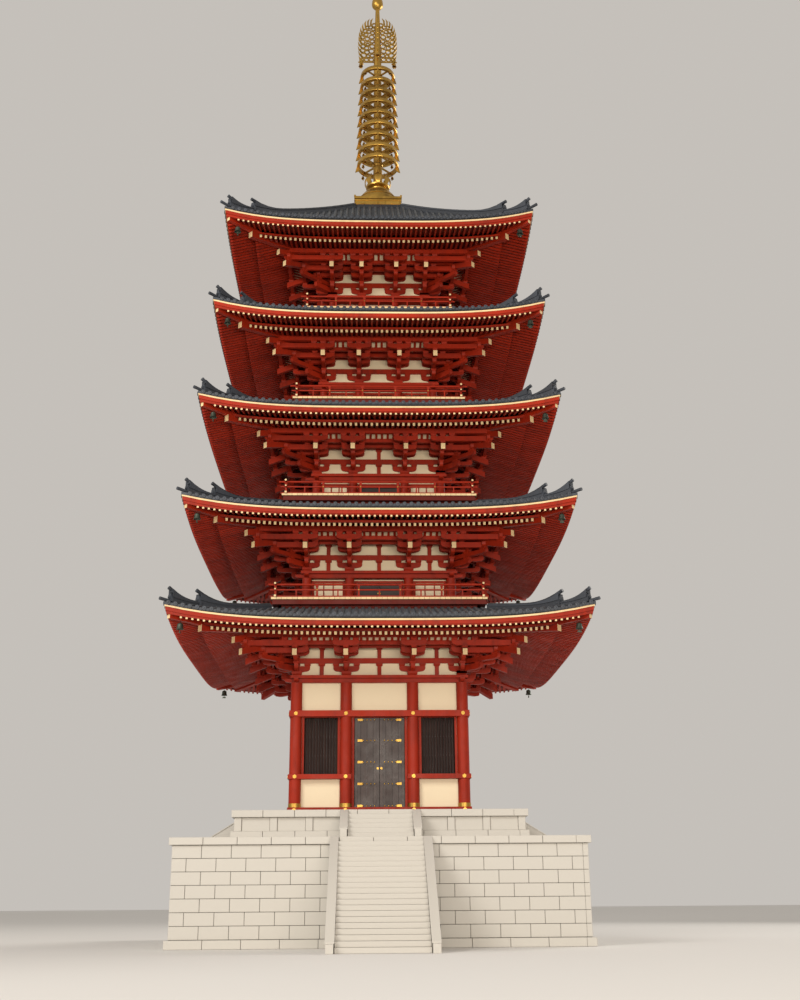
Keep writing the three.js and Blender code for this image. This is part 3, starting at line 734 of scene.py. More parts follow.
def put_piece(bm, name, finishes, stands_for):
    """Turns a finished shape into a named object, parents it to an empty for the root body, and hides the
    solid model's parts that it stands for.
    """
    bmesh.ops.recalc_face_normals(bm, faces=bm.faces[:])
    bmesh.ops.scale(bm, vec=(MODEL, MODEL, MODEL), verts=bm.verts[:])
    mesh = bpy.data.meshes.new(name)
    bm.to_mesh(mesh)
    bm.free()
    for finish in finishes:
        mesh.materials.append(bpy.data.materials[finish])
    mesh.shade_smooth()
    mesh.set_sharp_from_angle(angle=SHARP_FROM)
    give_tones(mesh)
    piece = new_object(name, mesh)
    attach(piece, "root")
    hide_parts(*stands_for)


# Stone base


def stone_wall(bm, half, bottom, top, stone):
    """Courses of joined blocks over a darker core on the front side."""
    count = max(1, round((top - bottom) / stone.course_height))
    height = (top - bottom) / count
    long, gap = stone.block_length, stone.joint / 2
    end = half - FACING_DEPTH
    for course in range(count):
        low = bottom + course * height
        shift = long / 2 if course % 2 else 0.0
        cuts = [-half + shift + k * long for k in range(math.ceil(2 * half / long) + 1)]
        cuts = [cut for cut in cuts if -half + SHORTEST_STONE < cut < end - SHORTEST_STONE]
        for left, right in zip([-half, *cuts], [*cuts, end]):
            front_block(bm, (left + gap, right - gap), (end, half), (low + gap, low + height - gap))


def stone_edge(bm, half, low, high, depth, length, joint):
    """One side of a course of long edge stones. Each side holds its left corner stone."""
    count = max(1, round(2 * half / length))
    pitch = (2 * half - depth) / count
    for k in range(count):
        start = -half + k * pitch + joint / 2
        end = -half + (k + 1) * pitch - joint / 2
        front_block(bm, (start, end), (half - depth, half), (low, high))


def paving(bm, inner, outer, top, size, joint):
    """Square paving stones between two distances from the axis."""
    count = round(2 * outer / size)
    pitch = 2 * outer / count
    for i in range(count):
        for j in range(count):
            x, y = -outer + (i + 0.5) * pitch, -outer + (j + 0.5) * pitch
            if max(abs(x), abs(y)) > inner:
                half = (pitch - joint) / 2
                block(bm, (x - half, y - half, top - 0.1), (x + half, y + half, top))


def build_terrace():
    stone = bpy.context.scene.pagoda_stone
    bm = bmesh.new()
    stone_wall(bm, TERRACE_HALF, PLINTH_HEIGHT, TERRACE_TOP - COPING_THICK, stone)
    plinth, coping = TERRACE_HALF + PLINTH_OUT, TERRACE_HALF + COPING_OUT
    stone_edge(bm, plinth, 0.005, PLINTH_HEIGHT - 0.01, PLINTH_DEPTH, 1.5, stone.joint)
    stone_edge(bm, coping, TERRACE_TOP - COPING_THICK + 0.01, TERRACE_TOP, COPING_DEPTH, 1.4, stone.joint)
    on_four_sides(bm)
    paving(bm, PODIUM_HALF, coping - PAVED_FROM, TERRACE_TOP, 0.86, stone.joint)
    bevel_edges(bm, 0.012)
    slab(bm, TERRACE_HALF - 0.03, 0, TERRACE_TOP - 0.05, 1)
    put_piece(bm, "terrace_stonework", ["granite", "joint"], ["terrace"])


def build_podium():
    stone = bpy.context.scene.pagoda_stone
    bottom = TERRACE_TOP
    bm = bmesh.new()
    plinth, coping = PODIUM_HALF + PLINTH_OUT, PODIUM_HALF + COPING_OUT
    stone_edge(bm, plinth, bottom, bottom + PLINTH_HEIGHT - 0.01, PLINTH_DEPTH, 1.4, stone.joint)
    stone_edge(bm, coping, PODIUM_TOP - COPING_THICK + 0.01, PODIUM_TOP, COPING_DEPTH, 1.35, stone.joint)
    panel = (bottom + PLINTH_HEIGHT, PODIUM_TOP - COPING_THICK)
    pitch = (2 * PODIUM_HALF - 2 * POST_HALF) / PODIUM_POSTS
    for k in range(PODIUM_POSTS):
        x = -PODIUM_HALF + POST_HALF + k * pitch
        front_block(bm, (x - POST_HALF, x + POST_HALF), (PODIUM_HALF - 0.3, PODIUM_HALF), panel)
        front_block(bm, (x + 0.16, x + pitch - 0.16), (PODIUM_HALF - 0.2, PODIUM_HALF - 0.06), panel)
    on_four_sides(bm)
    paving(bm, 0, coping - PAVED_FROM, PODIUM_TOP, 0.8, stone.joint)
    bevel_edges(bm, 0.01)
    slab(bm, PODIUM_HALF - 0.1, bottom, PODIUM_TOP - 0.05, 1)
    put_piece(bm, "podium_stonework", ["granite", "joint"], ["podium"])


def build_stair(name, node, side, half, face, bottom, top):
    """A flight of solid steps between two sloping side stones."""
    start = face + PLINTH_OUT
    count = round((top - bottom) / RISER)
    foot = start + (count - 1) * TREAD
    bm = bmesh.new()
    for k in range(count - 1):
        z = (bottom + k * RISER + 0.004, bottom + (k + 1) * RISER)
        front_block(bm, (-half + 0.005, half - 0.005), (start, foot - k * TREAD), z)
    cheek = [(start, bottom), (foot + CHEEK, bottom), (foot + CHEEK, bottom + CHEEK)]
    cheek += [(foot, bottom + CHEEK), (start, top - STAIR_COPING)]
    coping = [*reversed(cheek[3:]), (foot, bottom + CHEEK + STAIR_COPING), (start, top)]
    for low in (-half - CHEEK, half):
        front_prism(bm, cheek, low + 0.02, low + CHEEK - 0.02)
        front_prism(bm, coping, low - 0.01, low + CHEEK + 0.01)
    turn(bm, bm.verts[:], side * math.pi / 2)
    bevel_edges(bm, 0.01)
    put_piece(bm, name, ["granite"], [node])


# Storey bodies


def column_places(storey):
    """Where the columns stand, as (x, y)."""
    along = column_lines(storey)
    return [(x, y) for x in along for y in along if max(abs(x), abs(y)) == CORNER[storey]]


def column_lines(storey):
    """Where the columns stand along one side."""
    return (-CORNER[storey], -INNER[storey], INNER[storey], CORNER[storey])


def build_columns(storey):
    """Round columns, their tie boards with gilded covers, and the beam and plate over them."""
    corner, radius = CORNER[storey], COLUMN_RADIUS[storey]
    floor, eave = FLOOR_Z[storey], EAVE_Z[storey]
    bm = bmesh.new()
    square_band(bm, corner - 0.16, corner + 0.16, eave - BEAM_BOTTOM, eave - 1.61)
    square_band(bm, corner - 0.28, corner + 0.28, eave - 1.6, eave - BEAM_TOP)
    nose = arm_outline(corner, corner + 0.55, eave - BEAM_BOTTOM + 0.01, eave - 1.62, False, True)
    for x in (-corner, corner):
        front_prism(bm, nose, x - 0.1, x + 0.1)
    ties = [(floor + 0.16, 0.13)]
    waist = WINDOW_SILL - 0.22
    if storey == 0:
        ties = [(floor + 0.02, 0.24), (waist, 0.2), (DOOR_HEAD + 0.01, 0.27)]
    out = corner + radius + 0.03
    for low, height in ties:
        if low == waist:  # the waist ties stop beside the door
            beside = INNER[0] - radius + 0.02
            for across in ((-(corner - radius), -beside), (beside, out)):
                front_block(bm, across, (corner - radius, out), (low, low + height))
        else:
            square_band(bm, corner - radius, out, low, low + height)
        for x in column_lines(storey):
            boss(bm, x, low + height / 2, out, out + 0.03, 0.09, 6, 1)
    on_four_sides(bm)
    foot, top = floor + 0.01, eave - BEAM_BOTTOM
    for x, y in column_places(storey):
        lathe(bm, [(0, foot), (radius, foot), (radius * 0.96, top), (0, top)], 20, (x, y, 0))
        if storey == 0:
            base, band, wide = foot + 0.12, foot + 0.42, radius + 0.012
            lathe(bm, [(0, foot), (0.46, foot), (0.4, base), (0, base)], 20, (x, y, 0), 2)
            lathe(bm, [(0, base), (wide, base), (wide, band), (0, band)], 20, (x, y, 0), 1)
    name = f"storey{storey + 1}"
    finishes = ["vermilion", "gilding", "granite"]
    put_piece(bm, name + "_columns_and_beams", finishes, [name + "_frame"])


def bay_openings(storey):
    """The openings of one side, as (low x, high x, sill, head)."""
    corner, inner, radius = CORNER[storey], INNER[storey], COLUMN_RADIUS[storey]
    if storey == 0:
        door = (-DOOR_HALF, DOOR_HALF, DOOR_SILL, DOOR_HEAD)
        return [(-WINDOW[1], -WINDOW[0], WINDOW_SILL, DOOR_HEAD), door, (*WINDOW, WINDOW_SILL, DOOR_HEAD)]
    floor, head = FLOOR_Z[storey], EAVE_Z[storey] - BEAM_BOTTOM - 0.16
    low, high = inner + radius + 0.1, corner - radius - 0.1
    half = inner - radius - 0.1
    sides = [(-high, -low, floor + 0.3, head), (low, high, floor + 0.3, head)]
    return [sides[0], (-half, half, floor + 0.12, head), sides[1]]


def wall_faces(storey):
    """Inner and outer face of a storey's walls."""
    if storey == 0:
        return CORNER[0] - COLUMN_RADIUS[0] - WALL_THICK, CORNER[0] - 0.08
    outer = CORNER[storey] - COLUMN_RADIUS[storey]
    return outer - WALL_THICK, outer


def build_walls(storey):
    """Plaster between the openings, and a timber casing round each."""
    inner, outer = wall_faces(storey)
    low, high = FLOOR_Z[storey] + 0.01, EAVE_Z[storey] - BEAM_BOTTOM
    bm = bmesh.new()
    edge = -outer
    for start, end, sill, head in bay_openings(storey):
        front_block(bm, (edge, start), (inner, outer), (low, high))
        front_block(bm, (start, end), (inner, outer), (low, sill))
        front_block(bm, (start, end), (inner, outer), (head, high))
        edge = end
    front_block(bm, (edge, inner), (inner, outer), (low, high))
    depth = (inner, outer + CASING_PROUD)
    for start, end, sill, head in bay_openings(storey):
        front_block(bm, (start - CASING, start), depth, (sill - CASING, head + CASING), 1)
        front_block(bm, (end, end + CASING), depth, (sill - CASING, head + CASING), 1)
        front_block(bm, (start, end), depth, (sill - CASING, sill), 1)
        front_block(bm, (start, end), depth, (head, head + CASING), 1)
    on_four_sides(bm)
    name = f"storey{storey + 1}"
    put_piece(bm, name + "_wall_panels", ["plaster", "vermilion"], [name + "_walls"])


def barred_window(bm, faces, start, end, sill, head):
    """Dark boards side by side, behind upright bars and two rails."""
    inner, outer = faces
    wide = (end - start + 0.2) / WINDOW_BOARDS
    for k in range(WINDOW_BOARDS):
        x = start - 0.1 + k * wide
        front_block(bm, (x, x + wide - 0.01), (inner - 0.08, inner), (sill - 0.1, head + 0.1))
    count = round((end - start) / BAR_PITCH)
    pitch = (end - start) / count
    out = outer - 0.08
    for k in range(count):
        x = start + (k + 0.5) * pitch
        rod(bm, (x, -out, sill), (x, -out, head), 0.045, 4, 1)
    for z in (sill + (head - sill) / 3, sill + 2 * (head - sill) / 3):
        front_block(bm, (start, end), (out - 0.06, out - 0.02), (z - 0.025, z + 0.025), 1)


def balcony_door(bm, inner, end, sill, head):
    """Two leaves, each with a stile, two rails and a pull."""
    back = inner + 0.03
    front = back + 0.03
    for hand in (-1, 1):
        leaf = sorted((hand * 0.01, hand * (end + 0.02)))
        stile = sorted((hand * 0.01, hand * 0.09))
        front_block(bm, leaf, (inner - 0.03, back), (sill - 0.05, head + 0.05))
        front_block(bm, stile, (back, front), (sill, head))
        front_block(bm, leaf, (back, front), (sill, sill + 0.1))
        front_block(bm, leaf, (back, front), (head - 0.1, head))
        boss(bm, hand * 0.05, (sill + head) / 2, front, back + 0.06, 0.035, 8, 3)


def pale_panel(bm, inner, start, end, sill, head):
    """A plaster panel behind two upright bars."""
    face = inner + 0.03
    front_block(bm, (start - 0.02, end + 0.02), (inner - 0.03, face), (sill - 0.05, head + 0.05), 2)
    for part in (1 / 3, 2 / 3):
        x = start + (end - start) * part
        front_block(bm, (x - 0.025, x + 0.025), (face, inner + 0.07), (sill, head), 1)


def build_shutters(storey):
    """What closes a storey's openings: barred windows below, doors and pale panels above."""
    faces = wall_faces(storey)
    bm = bmesh.new()
    for index, (start, end, sill, head) in enumerate(bay_openings(storey)):
        if storey > 0 and index == 1:
            balcony_door(bm, faces[0], end, sill, head)
        elif storey > 0:
            pale_panel(bm, faces[0], start, end, sill, head)
        elif index != 1:
            barred_window(bm, faces, start, end, sill, head)
    on_four_sides(bm)
    name = f"storey{storey + 1}"
    finishes = ["lacquer", "vermilion" if storey > 0 else "lacquer", "plaster", "gilding"]
    put_piece(bm, name + "_window_boards", finishes, [name + "_shutters"])


def build_door(side_name, side):
    """A pair of plank doors with rails, rows of studs and gilded straps."""
    face = CORNER[0] - 0.14
    ground, back = face - 0.03, face - 0.08
    low, high = DOOR_SILL + 0.01, DOOR_HEAD - 0.01
    rails = (low, low + 0.95, low + 1.9, low + 2.85, high - DOOR_RAIL)
    strap = [(0.16, -0.05), (0.36, -0.05), (0.44, 0), (0.36, 0.05), (0.16, 0.05)]
    bm = bmesh.new()
    for hand in (-1, 1):
        wide = (DOOR_HALF - 0.02) / DOOR_PLANKS
        for k in range(DOOR_PLANKS):
            across = sorted((hand * (0.01 + k * wide), hand * ((k + 1) * wide)))
            front_block(bm, across, (back, ground), (low, high))
        for at in (0.01, DOOR_HALF - 0.15):
            across = sorted((hand * at, hand * (at + 0.13)))
            front_block(bm, across, (ground, face), (low, high))
        leaf = sorted((hand * 0.14, hand * (DOOR_HALF - 0.15)))
        for z in rails:
            front_block(bm, leaf, (ground, face - 0.004), (z, z + DOOR_RAIL))
        for z in (rail + DOOR_RAIL / 2 for rail in rails):
            outline = [(hand * (DOOR_HALF - x + 0.01), z + up) for x, up in strap]
            face_prism(bm, outline, face, 0.01, 1)
            for k in range(4):
                boss(bm, hand * (0.22 + k * 0.17), z, face - 0.01, face + 0.03, 0.04, 8, 1, 0.015)
    for x in (-0.08, 0.08):
        boss(bm, x, low + 1.7, face, face + 0.05, 0.05, 10, 1)
    turn(bm, bm.verts[:], side * math.pi / 2)
    nodes = ["storey1_door_" + side_name]
    put_piece(bm, "storey1_doors_" + side_name, ["lacquer", "gilding"], nodes)


# Brackets


def levels(storey, tier):
    """The heights of a bracket tier."""
    return [EAVE_Z[storey] + level for level in tier]


def cross_arm(bm, x, out, heights, left=0.58, right=0.58):
    """A bracket arm along the wall."""
    face_prism(bm, arm_outline(x - left, x + right, *heights), out + ARM_WIDE / 2, ARM_WIDE)


def bearing_row(bm, x, out, low, height, reach=0.44):
    """Bearing blocks on the middle of an arm and near its two ends."""
    for at in (x - reach, x, x + reach):
        masu(bm, at, out, low, 0.28, height)


def tail_rafter(bm, x, start, end, z_end, slope, width=0.2):
    """A sloping tail rafter with a cream end, given by the centre of its end face."""
    foot = (x, -start, z_end + (end - start) * slope - 0.13)
    stick(bm, foot, (x, -end, z_end - 0.13), width, 0.28, 0, 1)


def bracket_set(bm, storey, x):
    """One set of brackets on a column: arms stepping out under the eave purlin."""
    corner, eave = CORNER[storey], EAVE_Z[storey]
    side = 0 if abs(x) < corner else (1 if x > 0 else -1)
    spread = 0.59 if storey < TOP else 0.54

    def outer_arm(step, tier, reach):
        """An arm in front of the wall. On a corner column it runs on past the diagonal."""
        beyond = step + 0.25 if side else reach
        left, right = (reach, beyond) if side >= 0 else (beyond, reach)
        cross_arm(bm, x, corner + step, levels(storey, tier), left, right)

    masu(bm, x, corner, eave - BEAM_TOP, 0.46, 0.2)
    cross_arm(bm, x, corner, levels(storey, LOWER_ARM), spread, spread)
    bearing_row(bm, x, corner, eave + LOWER_ARM[1], 0.13, spread - 0.12)
    masu(bm, x, corner, eave + LOWER_PLATE[1], 0.26, 0.16)
    cross_arm(bm, x, corner, levels(storey, UPPER_ARM), 0.55, 0.55)
    bearing_row(bm, x, corner, eave + UPPER_ARM[1], 0.15, 0.43)
    masu(bm, x, corner, eave + UPPER_PLATE[1], 0.24, 0.1)
    cross_arm(bm, x, corner, levels(storey, CROWN_ARM))
    for step, tier in zip(STEPS, (LOWER_ARM, MIDDLE_ARM)):
        outline = arm_outline(corner - 0.1, corner + step + 0.14, *levels(storey, tier), False)
        front_prism(bm, outline, x - 0.09, x + 0.09)
    masu(bm, x, corner + STEPS[0], eave + LOWER_SEAT, 0.26, 0.11)
    for step in STEPS:
        masu(bm, x, corner + step, eave + MIDDLE_SEAT, 0.24, 0.12)
        outer_arm(step, STEP_ARM, 0.55)
        bearing_row(bm, x, corner + step, eave + STEP_ARM[1], 0.13, 0.42)
    tail_rafter(bm, x, corner - 0.2, corner + TAIL_REACH, eave - 0.83, TAIL_SLOPE)
    masu(bm, x, corner + PURLIN, eave + PURLIN_SEAT, 0.24, 0.15)
    outer_arm(PURLIN, PURLIN_ARM, 0.58)
    bearing_row(bm, x, corner + PURLIN, eave + PURLIN_ARM[1], 0.14)


def corner_bracket_set(bm, storey):
    """The set on a corner column's diagonal, with two tail rafters."""
    corner, eave = CORNER[storey], EAVE_Z[storey]
    before = set(bm.verts)
    foot, first, second, purlin = [(corner + step) * DIAGONAL for step in (0, *STEPS, PURLIN)]
    for end, tier in ((first, LOWER_ARM), (second, MIDDLE_ARM)):
        front_prism(bm, arm_outline(foot, end + 0.2, *levels(storey, tier), False), -0.1, 0.1)
    masu(bm, 0, first, eave + LOWER_SEAT, 0.28, 0.11)
    masu(bm, 0, first, eave + MIDDLE_SEAT, 0.28, 0.12)
    masu(bm, 0, second, eave + MIDDLE_SEAT, 0.28, 0.12)
    for reach, level in ((TAIL_REACH, -0.82), (CORNER_TAIL_REACH, -0.36)):
        end = (corner + reach) * DIAGONAL
        tail_rafter(bm, 0, foot - 0.2, end, eave + level, TAIL_SLOPE / DIAGONAL, 0.22)
    masu(bm, 0, purlin, eave + PURLIN_SEAT, 0.26, 0.14)
    masu(bm, 0, purlin, eave - 0.3, 0.26, 0.16)
    to_diagonal(bm, before)


def build_cove(bm, start, end, eave, reach):
    """The sloping cove between the outer tie and the purlin: pale panels between red ribs."""
    panel = [(start, eave - 0.14), (end, eave + 0.04), (end, eave + 0.07), (start, eave - 0.11)]
    front_prism(bm, panel, -reach, reach, 2)
    count, wide = round(2 * reach / 0.28), 0.11
    rib = [(start, eave - 0.18), (end, eave), (end, eave + 0.05), (start, eave - 0.13)]
    row(bm, front_prism(bm, rib, -reach, wide - reach), count + 1, (2 * reach - wide) / count)


def build_brackets(storey):
    """All the bracket sets of a storey, the beams they carry, and the plaster behind them."""
    corner, eave = CORNER[storey], EAVE_Z[storey]
    bm = bmesh.new()
    for x in column_lines(storey):
        bracket_set(bm, storey, x)
    corner_bracket_set(bm, storey)
    for tier in (LOWER_PLATE, UPPER_PLATE):
        square_band(bm, corner - 0.1, corner + 0.1, *levels(storey, tier))
    square_band(bm, corner - 0.1, corner + 0.1, eave + 0.5, soffit_z(storey, corner + 0.1))
    for step in STEPS:
        square_band(bm, corner + step - 0.08, corner + step + 0.08, eave - 0.32, eave - 0.08)
    build_cove(bm, corner + STEPS[1] + 0.07, corner + PURLIN - 0.09, eave, corner + STEPS[0])
    square_band(bm, corner + PURLIN - 0.1, corner + PURLIN + 0.1, eave - 0.13, eave + 0.11)
    middle = (corner + INNER[storey]) / 2
    struts = ((-middle, 0, middle), (-middle, 0, middle), (0,), (), ())[storey]
    for x in struts:
        for low, high in ((-BEAM_TOP, LOWER_ARM[1]), (LOWER_PLATE[1], UPPER_ARM[1])):
            front_block(bm, (x - 0.09, x + 0.09), (corner - 0.06, corner + 0.05), (eave + low, eave + high))
        masu(bm, x, corner, eave + LOWER_ARM[1], 0.3, 0.13)
        masu(bm, x, corner, eave + UPPER_ARM[1], 0.3, 0.15)
    square_band(bm, corner - 0.12, corner - 0.03, eave - BEAM_TOP, eave - 0.05, 2)
    square_band(bm, corner - 0.12, corner - 0.03, eave - 0.05, eave + 0.5)
    on_four_sides(bm)
    name = f"storey{storey + 1}_brackets"
    put_piece(bm, name + "_carved", ["vermilion", "cream", "plaster"], [name])


# Roofs


def rafter_row(bm, xs, start, end, height, share, section):
    """Rafters side by side with cream ends. Those past the corner spring from the hip."""
    for x in xs:
        inner = max(start, abs(x) + 0.14)
        if end - inner < 0.1:
            continue
        foot = (x, -inner, height(inner) + corner_rise(share(inner), x / inner))
        tip = (x, -end, height(end) + corner_rise(share(end), x / end))
        stick(bm, foot, tip, *section, 0, 1)


def spaced(reach, pitch):
    """Even positions between -reach and reach, about a pitch apart."""
    count = round(2 * reach / pitch)
    return [-reach + 2 * reach * k / count for k in range(count + 1)]


def build_eaves(storey):
    """Two rows of rafters under boarding, hip rafters, the fascias and the cream eave line."""
    pitch = bpy.context.scene.pagoda_timber.rafter_pitch
    edge, eave, corner = EAVE_HALF[storey], EAVE_Z[storey], CORNER[storey]
    step = edge - FLYING_OUT

    def base(half):
        return soffit_z(storey, half)

    def base_share(half):
        return soffit_share(storey, half)

    def flying(half):
        return flying_z(storey, half)

    def on_base(half):
        return base(half) + BASE_RAFTER[1]

    def on_flying(half):
        return flying(half) + FLYING_RAFTER[1]

    def rafter_share(half):
        return flying_share(storey, half, FLYING_LIFT)

    def top_share(half):
        return flying_share(storey, half)

    bm = bmesh.new()
    base_row = spaced(BASE_ROW_HALF[storey], pitch)
    flying_row = spaced(FLYING_ROW_HALF[storey], pitch)
    rafter_row(bm, base_row, corner - 0.2, step, base, base_share, BASE_RAFTER)
    rafter_row(bm, flying_row, step - 0.15, edge - TIP_BACK, flying, rafter_share, FLYING_RAFTER)
    # The boarding over the rafters takes the darkened timber copy: painted shade in the gaps between the
    # rafters.
    eave_sheet(bm, corner - 0.25, step, on_base, base_share, 0.03, 2)
    eave_sheet(bm, step - 0.1, edge - 0.1, on_flying, rafter_share, 0.03, 2, 3)
    eave_band(bm, step - 0.14, step - 0.02, eave - 0.24, eave - 0.12, base_share)
    eave_band(bm, edge - 0.17, edge - 0.05, eave - 0.28, eave - 0.15, rafter_share)
    eave_band(bm, edge - 0.16, edge - 0.01, eave - 0.24, eave - 0.075, top_share)
    eave_band(bm, edge - 0.2, edge + 0.03, eave - 0.075, eave, top_share, 1)
    before = set(bm.verts)
    reach = step + HIP_PAST_STEP[storey]
    foot, bend, tip = [
        (0, -half * DIAGONAL, base(half) + CORNER_LIFT * base_share(half) - 0.15)
        for half in (corner, (corner + step) / 2, reach)
    ]
    stick(bm, foot, bend, 0.26, 0.3)
    stick(bm, bend, tip, 0.26, 0.3, 0, 1)
    foot, tip = (0, -(step - 0.3) * DIAGONAL, eave), (0, -(edge - 0.14) * DIAGONAL, eave + 0.04)
    stick(bm, foot, tip, 0.18, 0.24, 0, 1)
    to_diagonal(bm, before)
    on_four_sides(bm)
    name = f"roof{storey + 1}"
    finishes = ["vermilion", "cream", "timber_painted_shade"]
    put_piece(bm, name + "_rafters", finishes, [name + "_timber"])


def lay_pans(bm, storey, courses):
    """The under tiles: courses that overlap like steps down the slope."""
    inner, outer = roof_inner(storey) - 0.05, EAVE_HALF[storey] + 0.05
    rows = 2 * courses - 1
    made = bmesh.ops.create_grid(bm, x_segments=22, y_segments=rows, size=1)["verts"]
    for vert in made:
        line = round((1 - vert.co.y) / 2 * rows)
        half = inner + (outer - inner) * ((line + 1) // 2) / courses
        overlap = 0.035 if line % 2 else 0.0
        vert.co = (vert.co.x, -half, tile_top(storey, half) - 0.13 + overlap)
    bend_along_eave(made, lambda half: TILE_LIFT * tile_share(storey, half))
    push(bm, list(faces_of(made)), (0, 0, -0.12))


def lay_rolls(bm, storey, xs, length):
    """The round cover tiles, each lapped over the one below it."""
    outer = EAVE_HALF[storey] + 0.06
    for x in xs:
        inner = max(roof_inner(storey), abs(x) + 0.1)
        count = max(1, round((outer - inner) / length))
        cuts = [outer + (inner - outer) * k / count for k in range(count + 1)]
        points = []
        for half in cuts:
            rise = corner_rise(TILE_LIFT * tile_share(storey, half), x / half)
            points.append(Vector((x, -half, tile_top(storey, half) - 0.1 + rise)))
        for low, high in zip(points, points[1:]):
            lap = (high - low).normalized() * 0.03
            rod(bm, low, high + lap, 0.092, 8, 0, end_radius=0.078)


def lay_eave_ends(bm, storey, pitch, count):
    """Round end tiles with a raised rim, and the curved lips of the pans between them."""
    edge = EAVE_HALF[storey]
    z = EAVE_Z[storey] + 0.165
    start = -(count - 1) * pitch / 2
    before = set(bm.verts)
    out = edge + 0.06
    disc = boss(bm, start, z, out, out + 0.035, 0.088, 12)
    rim = boss(bm, start, z, out + 0.035, out + 0.045, 0.05, 8, end_radius=0.03)
    row(bm, disc + rim, count, pitch)
    low, middle, end = z - 0.11, start + pitch / 2, start + pitch
    lip = [(start + 0.06, low + 0.1), (start + 0.1, low + 0.03), (middle, low)]
    lip += [(end - 0.1, low + 0.03), (end - 0.06, low + 0.1), (middle, low + 0.07)]
    row(bm, face_prism(bm, lip, out + 0.01, 0.05), count - 1, pitch)
    for vert in verts_since(bm, before):
        vert.co.z += corner_rise(TILE_LIFT, vert.co.x / edge)


def hip_line(storey, start, end, steps, sweep):
    """Points of the roof along a hip, as (distance on the diagonal, z, share of the upward sweep)."""
    line = []
    for k in range(steps + 1):
        half = start + (end - start) * k / steps
        z = tile_top(storey, half) + CORNER_LIFT * TILE_LIFT * tile_share(storey, half)
        line.append((half * DIAGONAL, z, clamped(1 - (end - half) / sweep, 2.3)))
    return line


def lay_ridge(bm, line, height, lift, width, cap):
    """A ridge that sweeps up to its end: a body with two lipped courses, under round cap tiles."""

    def rise(level, share):
        return level + lift * share * max(0, level) / height

    lip, brow = 0.4 * height, 0.8 * height
    for low, high, wide in ((-0.2, height, 0), (lip, lip + 0.05, 0.07), (brow, height, 0.05)):
        base = [(out, z + rise(low, share)) for out, z, share in line]
        top = [(out, z + rise(high, share)) for out, z, share in line]
        front_prism(bm, [*base, *reversed(top)], -(width + wide) / 2, (width + wide) / 2)
    crest = [Vector((0, -out, z + rise(height + 0.02, share))) for out, z, share in line]
    for start, end in zip(crest, crest[1:]):
        rod(bm, start, end, cap, 10, 0, end_radius=cap * 1.08)
    ahead = (crest[-1] - crest[-2]).normalized()
    foot, tip = crest[-1] - ahead * 0.1, crest[-1] + ahead * 0.14
    rod(bm, foot, tip, cap * 0.95, 12, end_radius=cap * 1.12)


def ridge_end(bm, out, z, height):
    """An end ornament: a shouldered plate with a round boss."""
    half = 0.34 * height
    side = [(-half * 1.1, -0.16), (-half * 1.2, 0.1), (-half, 0.3), (-half * 0.8, 0.66), (-half * 0.4, 0.86)]
    outline = [(x, z + up * height) for x, up in side]
    outline += [(-x, up) for x, up in reversed(outline)]
    face_prism(bm, outline, out + 0.06, 0.1)
    middle = z + 0.34 * height
    boss(bm, 0, middle, out + 0.06, out + 0.1, 0.2 * height, 12)
    boss(bm, 0, middle, out + 0.1, out + 0.13, 0.11 * height, 10)


def build_hip(bm, storey):
    """The ridge over a hip: a main length with its end ornament, then a lower one to the corner tile."""
    edge = EAVE_HALF[storey]
    inner = BALCONY_HALF[storey + 1] + 0.03 if storey < TOP else roof_inner(storey) + 0.02
    split = edge - 1.2
    before = set(bm.verts)
    main = hip_line(storey, inner, split, steps=14, sweep=1.4)
    lower = hip_line(storey, split - 0.1, edge - 0.18, steps=9, sweep=1.1)
    lay_ridge(bm, main, height=0.08, lift=0.36, width=0.28, cap=0.075)
    lay_ridge(bm, lower, height=0.05, lift=0.29, width=0.26, cap=0.075)
    ridge_end(bm, *main[-1][:2], height=0.46)
    ridge_end(bm, *lower[-1][:2], height=0.36)
    out, z, _ = lower[-1]
    tip = (0, -(edge + 0.21) * DIAGONAL, z + 0.01)
    rod(bm, (0, -out + 0.2, z - 0.04), tip, 0.06, 12, end_radius=0.075)
    to_diagonal(bm, before)


def build_tiles(storey):
    """The tiled roof: pans, cover tiles, eave ends, the bed under them and the four hip ridges."""
    tiles = bpy.context.scene.pagoda_tiles
    edge, eave = EAVE_HALF[storey], EAVE_Z[storey]

    def share(half):
        return tile_share(storey, half)

    bm = bmesh.new()
    pitch = tiles.roll_pitch
    count = 2 * math.floor((edge - 0.12) / pitch + 0.5)
    xs = [(k + 0.5 - count / 2) * pitch for k in range(count)]
    courses = round((edge - roof_inner(storey)) / tiles.course)
    lay_pans(bm, storey, courses)
    lay_rolls(bm, storey, xs, tiles.cover_length)
    lay_eave_ends(bm, storey, pitch, count)
    # The band under the eave-end tiles takes the darkened tile copy: painted shade.
    eave_band(bm, edge - 0.3, edge + 0.01, eave + 0.005, eave + 0.09, share, 1)
    if storey == TOP:  # a course of painted shade against the foot of the finial's box
        foot = BOX_Z[0]
        eave_band(bm, BOX_HALF - 0.06, BOX_HALF + 0.06, foot - 0.4, foot + 0.06, lambda half: 0, 1)
    build_hip(bm, storey)
    on_four_sides(bm)
    name = f"roof{storey + 1}"
    put_piece(bm, name + "_tiling", ["tile", "tile_bed_painted_shade"], [name + "_tiles"])


